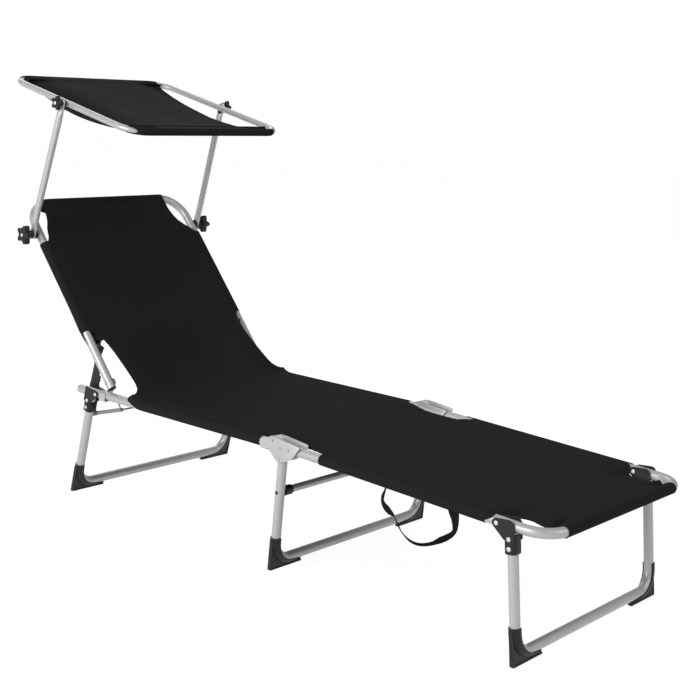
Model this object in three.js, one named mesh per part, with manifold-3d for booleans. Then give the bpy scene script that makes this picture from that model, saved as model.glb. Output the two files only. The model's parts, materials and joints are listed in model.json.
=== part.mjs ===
// Folding sun lounger with a tilting canopy, in millimetres, +Z up.
// X runs across the lounger, Y along it toward the head end, and the floor is z = 0.
// Pieces named _left lie at -X and pieces named _right at +X.

import * as THREE from 'three';
import { mergeVertices } from 'three/addons/utils/BufferGeometryUtils.js';
import Module from 'manifold-3d';

const wasm = await Module();
wasm.setup();
const radians = THREE.MathUtils.degToRad;

// Driving dimensions of the rails. Reaches are measured along a rail from the middle fold pivot
const tubeRadius = 11;
const tubeWall = 1.2;
const railX = 265;
const foldHeight = 306.5;
const railDrop = 12.5;
const footRailHeight = 280;
const headRailHeight = 281.5;
const footReach = 727;
const footRivetInset = 113.5;
const footRivetReach = footReach - footRivetInset;
const footRailStart = 13;
const footBend = 58;
const seatRailStart = 9;
const backPivotReach = 598;
const headRivetStep = 40;
const headRivetReach = backPivotReach + headRivetStep;

// Driving dimensions of the legs, their brackets and shoes
const legOffset = 28;
const legBend = 45;
const footLegLean = radians(-7);
const middleLegLean = radians(3.1);
const headLegLean = radians(12.8);
const middlePivotReach = 23;
const middlePivotDrop = 27;
const crossbarHeight = 20;
const bracketWall = 3.5;
const sleeveHalf = 13.5;
const sleeveTop = 16;
const sleeveBottom = 60;
const shoeSide = 15;
const shoeRise = 57;
const shoeToe = 102;
const shoeHalf = 13.5;
const shoeLip = 5;
const braceDrop = 80;
const braceRadius = 8.5;
const braceCapRadius = 11.5;
const braceCapLength = 22;

// Driving dimensions of the backrest, its racks and the leg stay
const backAngle = radians(48.67);
const backPivotRise = 36;
const backReach = 554;
const backTail = 17;
const backBend = 71;
const bracketStep = 3;
const bracketLength = 23;
const bracketRivetInset = 6;
const bracketStart = backPivotReach + bracketStep;
const bracketEnd = bracketStart + bracketLength;
const bracketRivetReach = bracketEnd - bracketRivetInset;
const rackPivotStep = 42;
const rackPivotRise = 3.3;
const rackPivotReach = headRivetReach + rackPivotStep;
const railTail = 35;
const seatReach = rackPivotReach + railTail;
const rackHeight = 140;
const rackDepth = 38;
const rackThickness = 3;
const latchReach = 113;
const stayPivotDrop = 72;
const stayRadius = 5;
const stayWireInset = 25;
const stayWireReach = backPivotReach - stayWireInset;
const stayWireDrop = 33;
const stayWireRadius = 2.25;
const hookStep = 21;
const hookReach = stayWireReach + hookStep;

// Driving dimensions of the arms, the canopy and the knobs
const armPivotReach = 459;
const armLength = 362;
const armAngle = radians(107.2);
const armRadius = 8.5;
const armFlat = 7;
const armPaddle = 12;
const armX = 286;
const armTopX = 275;
const armShoulder = 62;
const armNeck = 46;
const canopyTubeRadius = 8;
const canopyX = 259;
const canopyHeadReach = 246;
const canopyFootReach = 260;
const canopyAngle = radians(12.2);
const canopyBend = 56;
const boltRadius = 3.2;
const boltHead = 6;
const boltHeadHeight = 3;
const lowerKnob = { radius: 24, hub: 11, length: 32, grip: 18 };
const upperKnob = { radius: 18.5, hub: 9, length: 20, grip: 13 };

// Shared small sizes
const clearance = 0.3;
const overrun = 60;
const sheetSteel = 2;
const rivetRadius = 3;
const rivetHead = 5;
const smallHead = 4;
const rivetHeadHeight = 1.8;
const collarRadius = 5;
const cloth = 1.5;
const endPlug = 3;
const edgeRound = 4;
const tubeSides = 12;
const boreSides = 6;
const smallSides = 6;
const bendSteps = 4;
const smallBendSteps = 2;

// Offsets from a rail's centre to the faces of what lies beside it, one layer outside the other
const firstFace = tubeRadius + clearance;
const firstBack = firstFace + sheetSteel;
const secondFace = firstBack + clearance;
const secondBack = secondFace + sheetSteel;
const bracketBack = firstFace + bracketWall;
const rackFace = bracketBack + rivetHeadHeight + 2 * clearance;
const rackBack = rackFace + rackThickness;
const sheetBottom = tubeRadius + clearance;
const sheetTop = sheetBottom + cloth;

// Finishes
function finish(color, roughness, metalness) {
  return new THREE.MeshStandardMaterial({ color, roughness, metalness });
}
const silver = finish(0xb9bbbd, 0.38, 0.75);
const steel = finish(0xa9abad, 0.45, 0.8);
const darkSteel = finish(0x55575a, 0.5, 0.7);
const plastic = finish(0x2b2b2c, 0.55, 0);
const fabric = finish(0x242425, 0.9, 0);
const webbing = finish(0x1c1c1d, 0.85, 0);

// Solids: pieces are joined, tools are cut away, and the result is an indexed geometry
function toSolid(geometry) {
  const bare = geometry.clone();
  bare.deleteAttribute('normal');
  bare.deleteAttribute('uv');
  const merged = mergeVertices(bare);
  return new wasm.Manifold(new wasm.Mesh({
    numProp: 3,
    vertProperties: new Float32Array(merged.attributes.position.array),
    triVerts: new Uint32Array(merged.index.array),
  }));
}

function shaped(pieces, tools = []) {
  const whole = pieces.map(toSolid).reduce((body, piece) => body.add(piece));
  const mesh = tools.map(toSolid).reduce((body, tool) => body.subtract(tool), whole).getMesh();
  const geometry = new THREE.BufferGeometry();
  geometry.setAttribute('position', new THREE.BufferAttribute(mesh.vertProperties, mesh.numProp));
  geometry.setIndex(new THREE.BufferAttribute(mesh.triVerts, 1));
  return geometry;
}

function named(name, material, geometry) {
  const mesh = new THREE.Mesh(geometry, material);
  mesh.name = name;
  return mesh;
}

function mirrored(geometry) {
  const copy = geometry.clone().scale(-1, 1, 1);
  const index = copy.index.array;
  for (let i = 0; i < index.length; i += 3) {
    [index[i], index[i + 1]] = [index[i + 1], index[i]];
  }
  return copy;
}

// A piece built for the right side, and its mirror image for the left
function pair(name, material, geometry) {
  return [
    named(`${name}_left`, material, mirrored(geometry)),
    named(`${name}_right`, material, geometry),
  ];
}

function group(position, angle, ...children) {
  const result = new THREE.Group();
  result.position.set(...position);
  result.rotation.x = angle;
  result.add(...children.flat());
  return result;
}

// Flat outlines
function ringPoints(radius, count) {
  return Array.from({ length: count }, (_, i) => {
    const turn = ((2 * i + 1) / count) * Math.PI;
    return new THREE.Vector2(Math.cos(turn) * radius, Math.sin(turn) * radius);
  });
}

// The corners of a polygon whose flats clear a circle of the given radius
function around(radius, count) {
  return (radius + clearance) / Math.cos(Math.PI / count);
}

// The outline of a belt pulled round discs, each given as [across, up, radius]
function belt(discs) {
  const points = discs.flatMap(([u, v, radius]) =>
    ringPoints(radius, tubeSides).map((point) => [u + point.x, v + point.y]));
  points.sort((a, b) => a[0] - b[0] || a[1] - b[1]);
  const turn = (o, a, b) => (a[0] - o[0]) * (b[1] - o[1]) - (a[1] - o[1]) * (b[0] - o[0]);
  const chain = (list) => {
    const kept = [];
    for (const point of list) {
      while (kept.length > 1 && turn(kept.at(-2), kept.at(-1), point) <= 0) kept.pop();
      kept.push(point);
    }
    return kept.slice(0, -1);
  };
  return [...chain(points), ...chain(points.reverse())];
}

function shapeOf(outline) {
  return new THREE.Shape(outline.map(([u, v]) => new THREE.Vector2(u, v)));
}

// An outline and its mirror image about the middle of the lounger, as one outline
function symmetric(half) {
  return [...half, ...half.map(([x, y]) => [-x, y]).reverse()];
}

// Plates with their outline in Y-Z, X-Z or X-Y, between two values of the third axis
function plateX(outline, x0, x1) {
  const plate = new THREE.ExtrudeGeometry(shapeOf(outline), { depth: x1 - x0, bevelEnabled: false });
  plate.applyMatrix4(new THREE.Matrix4().makeBasis(
    new THREE.Vector3(0, 1, 0), new THREE.Vector3(0, 0, 1), new THREE.Vector3(1, 0, 0)));
  return plate.translate(x0, 0, 0);
}

function plateY(outline, y0, y1) {
  const plate = new THREE.ExtrudeGeometry(shapeOf(outline), { depth: y1 - y0, bevelEnabled: false });
  return plate.rotateX(Math.PI / 2).translate(0, y1, 0);
}

function plateZ(outline, z0, z1) {
  const plate = new THREE.ExtrudeGeometry(shapeOf(outline), { depth: z1 - z0, bevelEnabled: false });
  return plate.translate(0, 0, z0);
}

function block(x0, x1, y0, y1, z0, z1) {
  const box = new THREE.BoxGeometry(x1 - x0, y1 - y0, z1 - z0);
  return box.translate((x0 + x1) / 2, (y0 + y1) / 2, (z0 + z1) / 2);
}

function barX(radius, x0, x1, y, z, count = smallSides) {
  return plateX(ringPoints(radius, count).map((p) => [y + p.x, z + p.y]), x0, x1);
}

function barY(radius, y0, y1, x, z, count = tubeSides) {
  return plateY(ringPoints(radius, count).map((p) => [x + p.x, z + p.y]), y0, y1);
}

// A turned piece about an axis along X, from a profile of [radius, x] with x rising
function turnedX(profile, y, z, count = smallSides) {
  const lathe = new THREE.LatheGeometry(profile.map(([r, x]) => new THREE.Vector2(r, x)), count);
  return lathe.rotateZ(-Math.PI / 2).translate(0, y, z);
}

// A rivet along X with its heads outside x0 and x1, and collars that fill gaps between plates
function rivet(y, z, x0, x1, head = rivetHead, collars = []) {
  const steps = collars.flatMap(([c0, c1]) =>
    [[rivetRadius, c0], [collarRadius, c0], [collarRadius, c1], [rivetRadius, c1]]);
  return turnedX([
    [0, x0 - rivetHeadHeight], [head, x0 - rivetHeadHeight], [head, x0], [rivetRadius, x0],
    ...steps,
    [rivetRadius, x1], [head, x1], [head, x1 + rivetHeadHeight], [0, x1 + rivetHeadHeight],
  ], y, z);
}

// A rivet that is one piece with the plates at both its heads
function fixedRivet(y, z, back, head = rivetHead, collars = []) {
  return rivet(y, z, railX - back + clearance, railX + back - clearance, head, collars);
}

function hole(y, z, radius = rivetRadius, x = railX) {
  return barX(around(radius, smallSides), x - overrun, x + overrun, y, z);
}

// A path sampled only at its own stations, close in the bends and far apart on the straights
class StationPath extends THREE.Curve {
  constructor(stations) {
    super();
    this.stations = stations;
  }

  getPointAt(share) {
    return this.stations[Math.round(share * (this.stations.length - 1))].clone();
  }

  getTangentAt(share) {
    const i = Math.round(share * (this.stations.length - 1));
    const here = this.stations[i];
    const before = this.stations[Math.max(i - 1, 0)];
    const after = this.stations[Math.min(i + 1, this.stations.length - 1)];
    const ahead = after.clone().sub(here).normalize();
    return ahead.add(here.clone().sub(before).normalize()).normalize();
  }
}

// Corners joined by straights, with each inner corner rounded
function bent(corners, radius, steps = bendSteps) {
  const points = corners.map((corner) => new THREE.Vector3(...corner));
  const stations = [points[0]];
  for (let i = 1; i < points.length - 1; i++) {
    const inward = points[i].clone().sub(points[i - 1]).normalize();
    const outward = points[i + 1].clone().sub(points[i]).normalize();
    const turn = inward.angleTo(outward);
    const side = outward.clone().addScaledVector(inward, -Math.cos(turn)).normalize();
    const start = points[i].clone().addScaledVector(inward, -radius * Math.tan(turn / 2));
    for (let k = 0; k <= steps; k++) {
      const swing = (turn * k) / steps;
      stations.push(start.clone()
        .addScaledVector(inward, radius * Math.sin(swing))
        .addScaledVector(side, radius * (1 - Math.cos(swing))));
    }
  }
  stations.push(points.at(-1));
  return stations;
}

function sweep(stations, shape) {
  const steps = stations.length - 1;
  return new THREE.ExtrudeGeometry(shape, { steps, extrudePath: new StationPath(stations) });
}

function rod(stations, radius, count = tubeSides) {
  return sweep(stations, new THREE.Shape(ringPoints(radius, count)));
}

function tube(stations, radius, wall = tubeWall) {
  const shape = new THREE.Shape(ringPoints(radius, tubeSides));
  shape.holes.push(new THREE.Path(ringPoints(radius - wall, boreSides)));
  return sweep(stations, shape);
}

// Where the sections lie. Y is counted from the middle fold pivot until the last step
const footSlope = Math.asin((foldHeight - railDrop - footRailHeight) / footRivetReach);
const seatSlope = -Math.asin((foldHeight - railDrop - headRailHeight) / headRivetReach);

function turned(y, z, angle) {
  return { y: y * Math.cos(angle) - z * Math.sin(angle), z: y * Math.sin(angle) + z * Math.cos(angle) };
}

function heightOf(reach, rise, slope) {
  return foldHeight + turned(reach, rise - railDrop, slope).z;
}

// Seat section
function seatRail() {
  const rail = [new THREE.Vector3(railX, -seatRailStart, 0), new THREE.Vector3(railX, seatReach, 0)];
  const insideWall = railX - tubeRadius + tubeWall;
  const outsideWall = railX + tubeRadius - tubeWall;
  const bored = shaped([tube(rail, tubeRadius)], [hole(strap.rivetReach, 0), hole(bracketRivetReach, 0),
    hole(hookReach, 0, stayWireRadius, railX - overrun)]);
  return shaped([
    bored,
    rivet(headRivetReach, 0, railX - bracketBack - clearance, railX + bracketBack + clearance),
    rivet(rackPivotReach, rackPivotRise, railX - rackBack - clearance, outsideWall, rivetHead,
      [[railX - rackFace + clearance, insideWall]]),
  ]);
}

function plug(length) {
  const bore = (tubeRadius - tubeWall) * Math.cos(Math.PI / boreSides) - clearance;
  const profile = [[0, -tubeRadius], [bore, -tubeRadius], [bore, clearance], [tubeRadius, clearance],
    [tubeRadius, length / 2], [bore, length], [0, length]];
  return new THREE.LatheGeometry(profile.map(([r, y]) => new THREE.Vector2(r, y)), tubeSides);
}

function railEndCap() {
  return shaped([plug(endPlug).translate(railX, seatReach, 0)]);
}

const strap = { start: 18, end: 38, rivetReach: 27, tail: 32, round: 10, ear: 7.5 };

function seatHingeStrap() {
  const outline = belt([
    [strap.tail, 0, strap.round], [-seatRailStart + clearance, 0, strap.round], [0, railDrop, strap.ear],
  ]);
  const skirt = [[strap.start, -firstBack], [strap.end, -firstBack], [strap.end, 0], [strap.start, 0]];
  const pin = firstFace + clearance;
  const stop = secondBack + clearance;
  return shaped([
    fixedRivet(strap.rivetReach, 0, firstBack, smallHead),
    barX(rivetRadius, railX + pin, railX + stop, 0, railDrop),
    barX(rivetRadius, railX - stop, railX - pin, 0, railDrop),
    barX(smallHead, railX + stop, railX + stop + rivetHeadHeight, 0, railDrop),
    barX(smallHead, railX - stop - rivetHeadHeight, railX - stop, 0, railDrop),
    plateX(outline, railX + firstFace, railX + firstBack),
    plateX(outline, railX - firstBack, railX - firstFace),
    plateX(skirt, railX + firstFace, railX + firstBack),
    plateX(skirt, railX - firstBack, railX - firstFace),
    block(railX - firstBack, railX + firstBack, strap.start, strap.end, -firstBack, -firstFace),
  ]);
}

const flangeTop = 8;

function backrestPivotBracket() {
  const flange = [[bracketStart, -firstBack], [bracketEnd, -firstBack],
    [bracketEnd, flangeTop], [bracketStart, flangeTop]];
  const ear = belt([
    [backPivotReach, backPivotRise, strap.round], [bracketStart + edgeRound, flangeTop, edgeRound],
    [bracketEnd - edgeRound, flangeTop - edgeRound, edgeRound],
  ]);
  return shaped([
    plateX(flange, railX + firstFace, railX + firstBack),
    plateX(flange, railX - firstBack, railX - firstFace),
    plateX(ear, railX - firstBack, railX - firstFace),
    block(railX - firstBack, railX + firstBack, bracketStart, bracketEnd, -firstBack, -firstFace),
    fixedRivet(bracketRivetReach, 0, firstBack, smallHead),
    rivet(backPivotReach, backPivotRise, railX - firstBack + clearance, railX + tubeRadius + clearance),
  ]);
}

const hookX = railX - bracketBack - clearance - stayWireRadius;

function stayHook() {
  const along = new THREE.Vector2(hookReach - stayWireReach, stayWireDrop).normalize();
  const gap = stayRadius + 2 * clearance;
  return shaped([rod(bent([
    [railX - tubeRadius / 2, hookReach, 0], [hookX, hookReach, 0],
    [hookX, stayWireReach + along.x * gap, -stayWireDrop + along.y * gap],
  ], stayWireRadius * 2, smallBendSteps), stayWireRadius, smallSides)]);
}

const seatSheet = { tongueInset: 25, tongueEnd: 45, neckInset: 28, sleeveGap: 65, foldGap: 42 };

function seatFabric() {
  const tongue = railX - seatSheet.tongueInset;
  const fold = railX - seatSheet.neckInset;
  const sleeveEnd = backPivotReach - seatSheet.sleeveGap;
  const sheet = symmetric([
    [tongue, -seatRailStart], [tongue, seatSheet.tongueEnd], [railX, seatSheet.tongueEnd],
    [railX, sleeveEnd], [fold, sleeveEnd + tubeRadius], [fold, backPivotReach - seatSheet.foldGap],
  ]);
  const sleeve = (x) => barY(sheetTop, seatSheet.tongueEnd, sleeveEnd, x, 0);
  const bore = (x) => barY(around(tubeRadius, tubeSides), -overrun, seatReach, x, 0);
  return shaped([plateZ(sheet, sheetBottom, sheetTop), sleeve(railX), sleeve(-railX)],
    [bore(railX), bore(-railX)]);
}

// Foot section, built in its own frame with the rails along -Y
function footFrameTube() {
  const stations = bent([
    [railX, -footRailStart, 0], [railX, -footReach, 0], [-railX, -footReach, 0], [-railX, -footRailStart, 0],
  ], footBend);
  const bored = shaped([tube(stations, tubeRadius)], [railX, -railX].flatMap((x) => [
    hole(-plate.rearRivet, 0, rivetRadius, x), hole(-plate.frontRivet, -plate.frontRivetDrop, rivetRadius, x),
  ]));
  const pin = rivet(-footRivetReach, 0, railX - bracketBack - clearance, railX + bracketBack + clearance);
  return shaped([bored, pin, mirrored(shaped([pin]))]);
}

const plate = {
  reach: 84, top: 21, rearTop: 16.7, bridgeEnd: 63, bridgeStart: 42, frontCorner: 47, cornerDrop: 26,
  rearRivet: 50.4, frontRivet: 25, frontRivetDrop: 3,
};

function footHingePlate() {
  const between = [
    [railX - secondFace - clearance, railX - firstFace], [railX + firstFace, railX + secondFace + clearance],
  ];
  const outline = belt([
    [0, railDrop, strap.ear + clearance * 3], [-middlePivotReach, -middlePivotDrop, edgeRound * 2],
    [tubeRadius - edgeRound / 2, -railDrop / 2, edgeRound], [-plate.bridgeEnd, -tubeRadius, edgeRound],
    [-plate.reach + edgeRound, plate.rearTop - edgeRound, edgeRound],
    [-middlePivotReach + edgeRound, plate.top - edgeRound, edgeRound],
    [-plate.frontCorner, -plate.cornerDrop + edgeRound, edgeRound],
  ]);
  return shaped([
    plateX(outline, railX + secondFace, railX + secondBack),
    plateX(outline, railX - secondBack, railX - secondFace),
    block(railX - secondBack, railX + secondBack, -plate.bridgeEnd, -plate.bridgeStart,
      -firstBack - clearance, -firstFace - clearance),
    fixedRivet(-plate.rearRivet, 0, secondBack, smallHead, between),
    fixedRivet(-plate.frontRivet, -plate.frontRivetDrop, secondBack, smallHead, between),
    fixedRivet(-middlePivotReach, -middlePivotDrop, secondBack, rivetHead, between),
  ], [hole(0, railDrop)]);
}

const footSheet = { sleeveGap: 23.5, cornerInset: 18, crossInset: 58, tongueInset: 25, tongueStart: 140 };

function footFabric() {
  const corner = railX - footSheet.cornerInset;
  const sleeveEnd = footRivetReach - footSheet.sleeveGap;
  const sheet = symmetric([
    [railX - footSheet.tongueInset, -footRailStart], [railX - footSheet.tongueInset, -footSheet.tongueStart],
    [railX, -footSheet.tongueStart], [railX, -sleeveEnd],
    [corner, -sleeveEnd - footSheet.cornerInset], [corner, -footReach + tubeRadius * 2],
    [railX - footSheet.crossInset, -footReach],
  ]);
  const sleeve = (x) => barY(sheetTop, -sleeveEnd, -footSheet.tongueStart, x, 0);
  const bore = (x) => barY(around(tubeRadius, tubeSides), -footReach + footBend, overrun, x, 0);
  const cross = railX - footSheet.crossInset;
  return shaped([
    plateZ(sheet.reverse(), sheetBottom, sheetTop), sleeve(railX), sleeve(-railX),
    barX(sheetTop, -cross, cross, -footReach, 0, tubeSides),
  ], [bore(railX), bore(-railX),
    barX(around(tubeRadius, tubeSides), -railX, railX, -footReach, 0, tubeSides)]);
}

// Carrying strap: a band of webbing that hangs in a loop from the underside of the cloth
const carry = { inset: 25, width: 25, thickness: 2, headReach: 307, footReach: 480, drop: 115 };

function carryStrap() {
  const middle = (carry.headReach + carry.footReach) / 2;
  const half = (carry.footReach - carry.headReach) / 2;
  const top = sheetBottom - clearance;
  const path = new THREE.CatmullRomCurve3([
    [half, top], [half, top - carry.drop / 4], [half * loopShares.neck, -carry.drop * loopShares.neckDrop],
    [0, -carry.drop], [-half * loopShares.neck, -carry.drop * loopShares.neckDrop],
    [-half, top - carry.drop / 4], [-half, top],
  ].map(([y, z]) => new THREE.Vector3(0, y - middle, z)));
  const samples = 24;
  const edge = (side) => Array.from({ length: samples + 1 }, (_, i) => {
    const point = path.getPoint(i / samples);
    const along = path.getTangent(i / samples);
    const reach = side * carry.thickness / 2;
    return [point.y - along.z * reach, i % samples ? point.z + along.y * reach : top];
  });
  const outline = [...edge(1), ...edge(-1).reverse()];
  const outer = railX - carry.inset / 2;
  return mirrored(shaped([plateX(outline, outer - carry.width, outer)]));
}

const loopShares = { neck: 0.72, neckDrop: 0.78 };

// Legs, each in a frame with its rivet at the origin and the leg pointing down
function legDepth(pivotHeight, offset, lean) {
  return (pivotHeight + offset * Math.sin(lean) - crossbarHeight) / Math.cos(lean);
}

function legStations(offset, top, depth) {
  return bent([[railX, offset, -top], [railX, offset, -depth], [-railX, offset, -depth],
    [-railX, offset, -top]], legBend);
}

function legTube(offset, top, depth, holes) {
  const tools = [railX, -railX].flatMap((x) => holes.map((drop) => hole(offset, -drop, rivetRadius, x)));
  return shaped([tube(legStations(offset, top, depth), tubeRadius)], tools);
}

function headLegTube() {
  const stop = legTop + legOffset * Math.sin(headLegLean - seatSlope);
  const pin = rivet(legOffset, -stayPivotDrop, stayX - stayRadius - clearance, railX + tubeRadius - tubeWall,
    rivetHead, [[stayX + stayRadius + clearance, railX - tubeRadius + tubeWall]]);
  return shaped([legTube(legOffset, stop, headLegDepth, legRivetDrops), pin, mirrored(shaped([pin]))]);
}

// A shoe is clipped round the outside of the bend, is open to the inside, and is cut level at the floor
function legShoe(offset, depth, lean) {
  const outer = railX + shoeSide;
  const inner = railX - shoeLip;
  const round = legBend - shoeLip;
  const arc = Array.from({ length: bendSteps + 1 }, (_, i) => {
    const swing = (Math.PI / 2) * (i / bendSteps);
    return [inner - round + round * Math.cos(swing), legBend - round * Math.sin(swing)];
  });
  const outline = [[outer, -2 * crossbarHeight], [outer, shoeRise], [inner, shoeRise], ...arc,
    [outer - shoeToe, shoeLip], [outer - shoeToe, -2 * crossbarHeight]];
  const bore = rod(bent([[railX, 0, shoeRise + overrun], [railX, 0, 0], [-railX, 0, 0]], legBend),
    around(tubeRadius, tubeSides));
  const floor = block(-overrun, railX + overrun, -overrun, overrun, -overrun - crossbarHeight, -crossbarHeight);
  return shaped([plateY(outline.reverse(), -shoeHalf, shoeHalf)], [bore, floor.rotateX(-lean)])
    .translate(0, offset, -depth);
}

// A bracket has a sleeve round the top of the leg and two cheeks that straddle the rail
const neck = { reach: 22, drop: 7, round: 6.5, disc: 9.5, tallDisc: 11.5 };

function legBracket(offset, lean, notched) {
  const s = Math.sign(offset);
  const innerDisc = [s * (Math.abs(offset) - sleeveHalf + edgeRound), -sleeveTop * 2 + edgeRound, edgeRound];
  const outerDisc = [s * (Math.abs(offset) + sleeveHalf - edgeRound), -sleeveTop - edgeRound, edgeRound];
  const elbow = [s * neck.reach, -neck.drop, neck.round];
  const outlines = notched
    ? [belt([[0, 0, neck.disc], elbow]), belt([elbow, innerDisc, outerDisc])]
    : [belt([[0, 0, neck.tallDisc], innerDisc, outerDisc])];
  const cheeks = outlines.flatMap((outline) => [
    plateX(outline, railX + firstFace, railX + bracketBack),
    plateX(outline, railX - bracketBack, railX - firstFace),
  ]);
  const corner = (x, y) => [railX + x * (bracketBack - edgeRound), offset + y * (sleeveHalf - edgeRound), edgeRound];
  const sleeve = plateZ(belt([corner(1, 1), corner(-1, 1), corner(-1, -1), corner(1, -1)]),
    -sleeveBottom, -sleeveTop);
  const bore = plateZ(ringPoints(around(tubeRadius, tubeSides), tubeSides)
    .map((p) => [railX + p.x, offset + p.y]), -sleeveBottom - overrun, overrun);
  const cut = shaped([...cheeks, sleeve], [bore, railRoom(lean), hole(0, 0)]);
  return shaped([cut, ...legRivetDrops.map((drop) => fixedRivet(offset, -drop, bracketBack))]);
}

const legRivetDrops = [29, 48.5];

// The room that a rail takes between the cheeks, as seen from a leg that leans away from it
function railRoom(tilt) {
  const room = barY(around(tubeRadius, tubeSides), -overrun - railX, railX + overrun, railX, 0);
  return room.rotateX(-tilt);
}

// Middle leg brace, with a cup at each end that is riveted to the leg
function brace() {
  const end = railX - tubeRadius - sheetSteel * 2;
  return shaped([tube([new THREE.Vector3(-end, 0, -braceDrop), new THREE.Vector3(end, 0, -braceDrop)],
    braceRadius)]);
}

function braceEndCap() {
  const face = railX - tubeRadius - clearance;
  const floor = face - sheetSteel * 2 + clearance * 2;
  const cup = around(braceRadius, tubeSides);
  return shaped([
    turnedX([
      [0, floor], [cup, floor], [cup, face - braceCapLength], [braceCapRadius, face - braceCapLength],
      [braceCapRadius, face], [0, face],
    ], 0, -braceDrop, tubeSides),
    rivet(0, -braceDrop, floor + clearance, railX + tubeRadius + clearance, smallHead),
  ]);
}

// Leg stay: two arms beside the head leg, joined across the lounger by a thin wire
const stayX = railX - bracketBack - rivetHeadHeight / 2 - stayRadius;

function stayPivot() {
  const lean = headLegLean - seatSlope;
  const foot = turned(legOffset, -stayPivotDrop, lean);
  return { y: headRivetReach + foot.y, z: foot.z };
}

function legStay() {
  const reach = stayWireReach - stayPivot().y;
  const drop = -stayWireDrop - stayPivot().z;
  const arm = (x) => [
    rod([new THREE.Vector3(x, 0, 0), new THREE.Vector3(x, reach, drop)], stayRadius, boreSides),
    barX(stayRadius, x - stayRadius, x + stayRadius, 0, 0),
    barX(stayRadius, x - stayRadius, x + stayRadius, reach, drop),
  ];
  return shaped([...arm(stayX), ...arm(-stayX), barX(stayWireRadius, -stayX, stayX, reach, drop)],
    [hole(0, 0), hole(0, 0, rivetRadius, -railX)]);
}

// Backrest, in a frame with its pivot at the origin and its tubes along +Y
function backFrameTube() {
  const stations = bent([
    [railX, -backTail, 0], [railX, backReach, 0], [-railX, backReach, 0], [-railX, -backTail, 0],
  ], backBend);
  const bored = shaped([tube(stations, tubeRadius)], [railX, -railX].flatMap((x) => [
    hole(0, 0, rivetRadius, x), hole(armPivotReach, 0, boltRadius, x),
  ]));
  const stud = barX(smallHead, railX - rackFace + clearance, railX + tubeRadius + rivetHeadHeight, latchReach, 0);
  return shaped([bored, stud, mirrored(shaped([stud]))]);
}

function tubeEndPlug() {
  return shaped([plug(endPlug).rotateZ(Math.PI).translate(railX, -backTail, 0)]);
}

const backSheet = {
  foldReach: -40, foldInset: 28, waist: 60, waistInset: 42, sleeveStart: 170, sleeveGap: 41,
  shoulderGap: 9, shoulderInset: 30,
};

function backFabric() {
  const fold = railX - backSheet.foldInset;
  const top = railX - backBend;
  const sleeveEnd = armPivotReach - backSheet.sleeveGap;
  const sheet = symmetric([
    [fold, backSheet.foldReach], [railX - backSheet.waistInset, backSheet.waist],
    [fold, backSheet.sleeveStart - tubeRadius], [railX, backSheet.sleeveStart], [railX, sleeveEnd],
    [railX - backSheet.shoulderInset, armPivotReach - backSheet.shoulderGap], [top, backReach],
  ]);
  const sleeve = (x) => barY(sheetTop, backSheet.sleeveStart, sleeveEnd, x, 0);
  const bore = (x) => barY(around(tubeRadius, tubeSides), -overrun, backReach - backBend, x, 0);
  return shaped([
    plateZ(sheet, sheetBottom, sheetTop), sleeve(railX), sleeve(-railX),
    barX(sheetTop, -top, top, backReach, 0, tubeSides),
  ], [bore(railX), bore(-railX),
    barX(around(tubeRadius, tubeSides), -railX, railX, backReach, 0, tubeSides)]);
}

// Notched rack, with its points as shares of its height and depth from its pivot
const rackShares = [
  [0.6, 0.01], [0.1, 0.47], [0.02, 0.86], [-0.59, 1], [-0.47, 0.85], [-0.87, 0.82], [-0.42, 0.59],
  [-0.78, 0.57], [-0.38, 0.27], [-0.55, 0.27], [-0.48, 0.15], [-0.4, 0.19], [-0.4, 0.06],
];

function rack() {
  const outline = rackShares.map(([back, up]) => [back * rackDepth, up * rackHeight]);
  const eye = belt([[0, 0, rackDepth / 3], [rackDepth / 3, rackDepth / 6, rackDepth / 4]]);
  return shaped([
    plateX(outline, railX - rackBack, railX - rackFace),
    plateX(eye, railX - rackBack, railX - rackFace),
  ], [hole(0, 0)]);
}

// Arms, in a frame with the lower pivot at the origin and the arm along +Y
function arm() {
  const shaft = rod(bent([
    [armX, armPaddle + edgeRound, 0], [armX, armShoulder, 0], [armTopX, armLength - armNeck, 0],
    [armTopX, armLength - armPaddle * 2, 0],
  ], armShoulder, smallBendSteps), armRadius, tubeSides);
  const paddle = (x, start, end) => plateX(belt([[start, 0, armPaddle], [end, 0, armRadius]]),
    x - armFlat / 2, x + armFlat / 2);
  return shaped([
    shaft, paddle(armX, 0, armPaddle * 2), paddle(armTopX, armLength, armLength - armPaddle * 2),
    bolt(0, railX - tubeRadius, lowerKnobX + lowerKnob.length),
    bolt(armLength, canopyX - canopyTubeRadius, upperKnobX + upperKnob.length),
  ]);
}

function armSpacer() {
  const start = railX + firstFace;
  const end = armX - armFlat / 2 - clearance;
  return shaped([barX(armPaddle, start, end, 0, 0, tubeSides)], [hole(0, 0, boltRadius)]);
}

function bolt(y, from, to) {
  const low = from - clearance;
  return turnedX([[0, low - boltHeadHeight], [boltHead, low - boltHeadHeight], [boltHead, low],
    [boltRadius, low], [boltRadius, to], [0, to]], y, 0);
}

const lowerKnobX = armX + armFlat / 2 + clearance;
const upperKnobX = armTopX + armFlat / 2 + clearance;

// A star knob with five round lobes, on a hub that leads to the arm
function starKnob(size, x) {
  const lobes = 5;
  const outline = Array.from({ length: lobes * smallSides }, (_, i) => {
    const turn = (i / (lobes * smallSides)) * 2 * Math.PI;
    const radius = size.radius * (1 - lobeShare + lobeShare * Math.cos(lobes * turn));
    return [Math.cos(turn) * radius, Math.sin(turn) * radius];
  });
  const grip = x + size.length - size.grip;
  return shaped([barX(size.hub, x, grip + clearance, 0, 0, tubeSides), plateX(outline, grip, x + size.length)],
    [hole(0, 0, boltRadius, x)]);
}

const lobeShare = 0.13;

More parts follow.
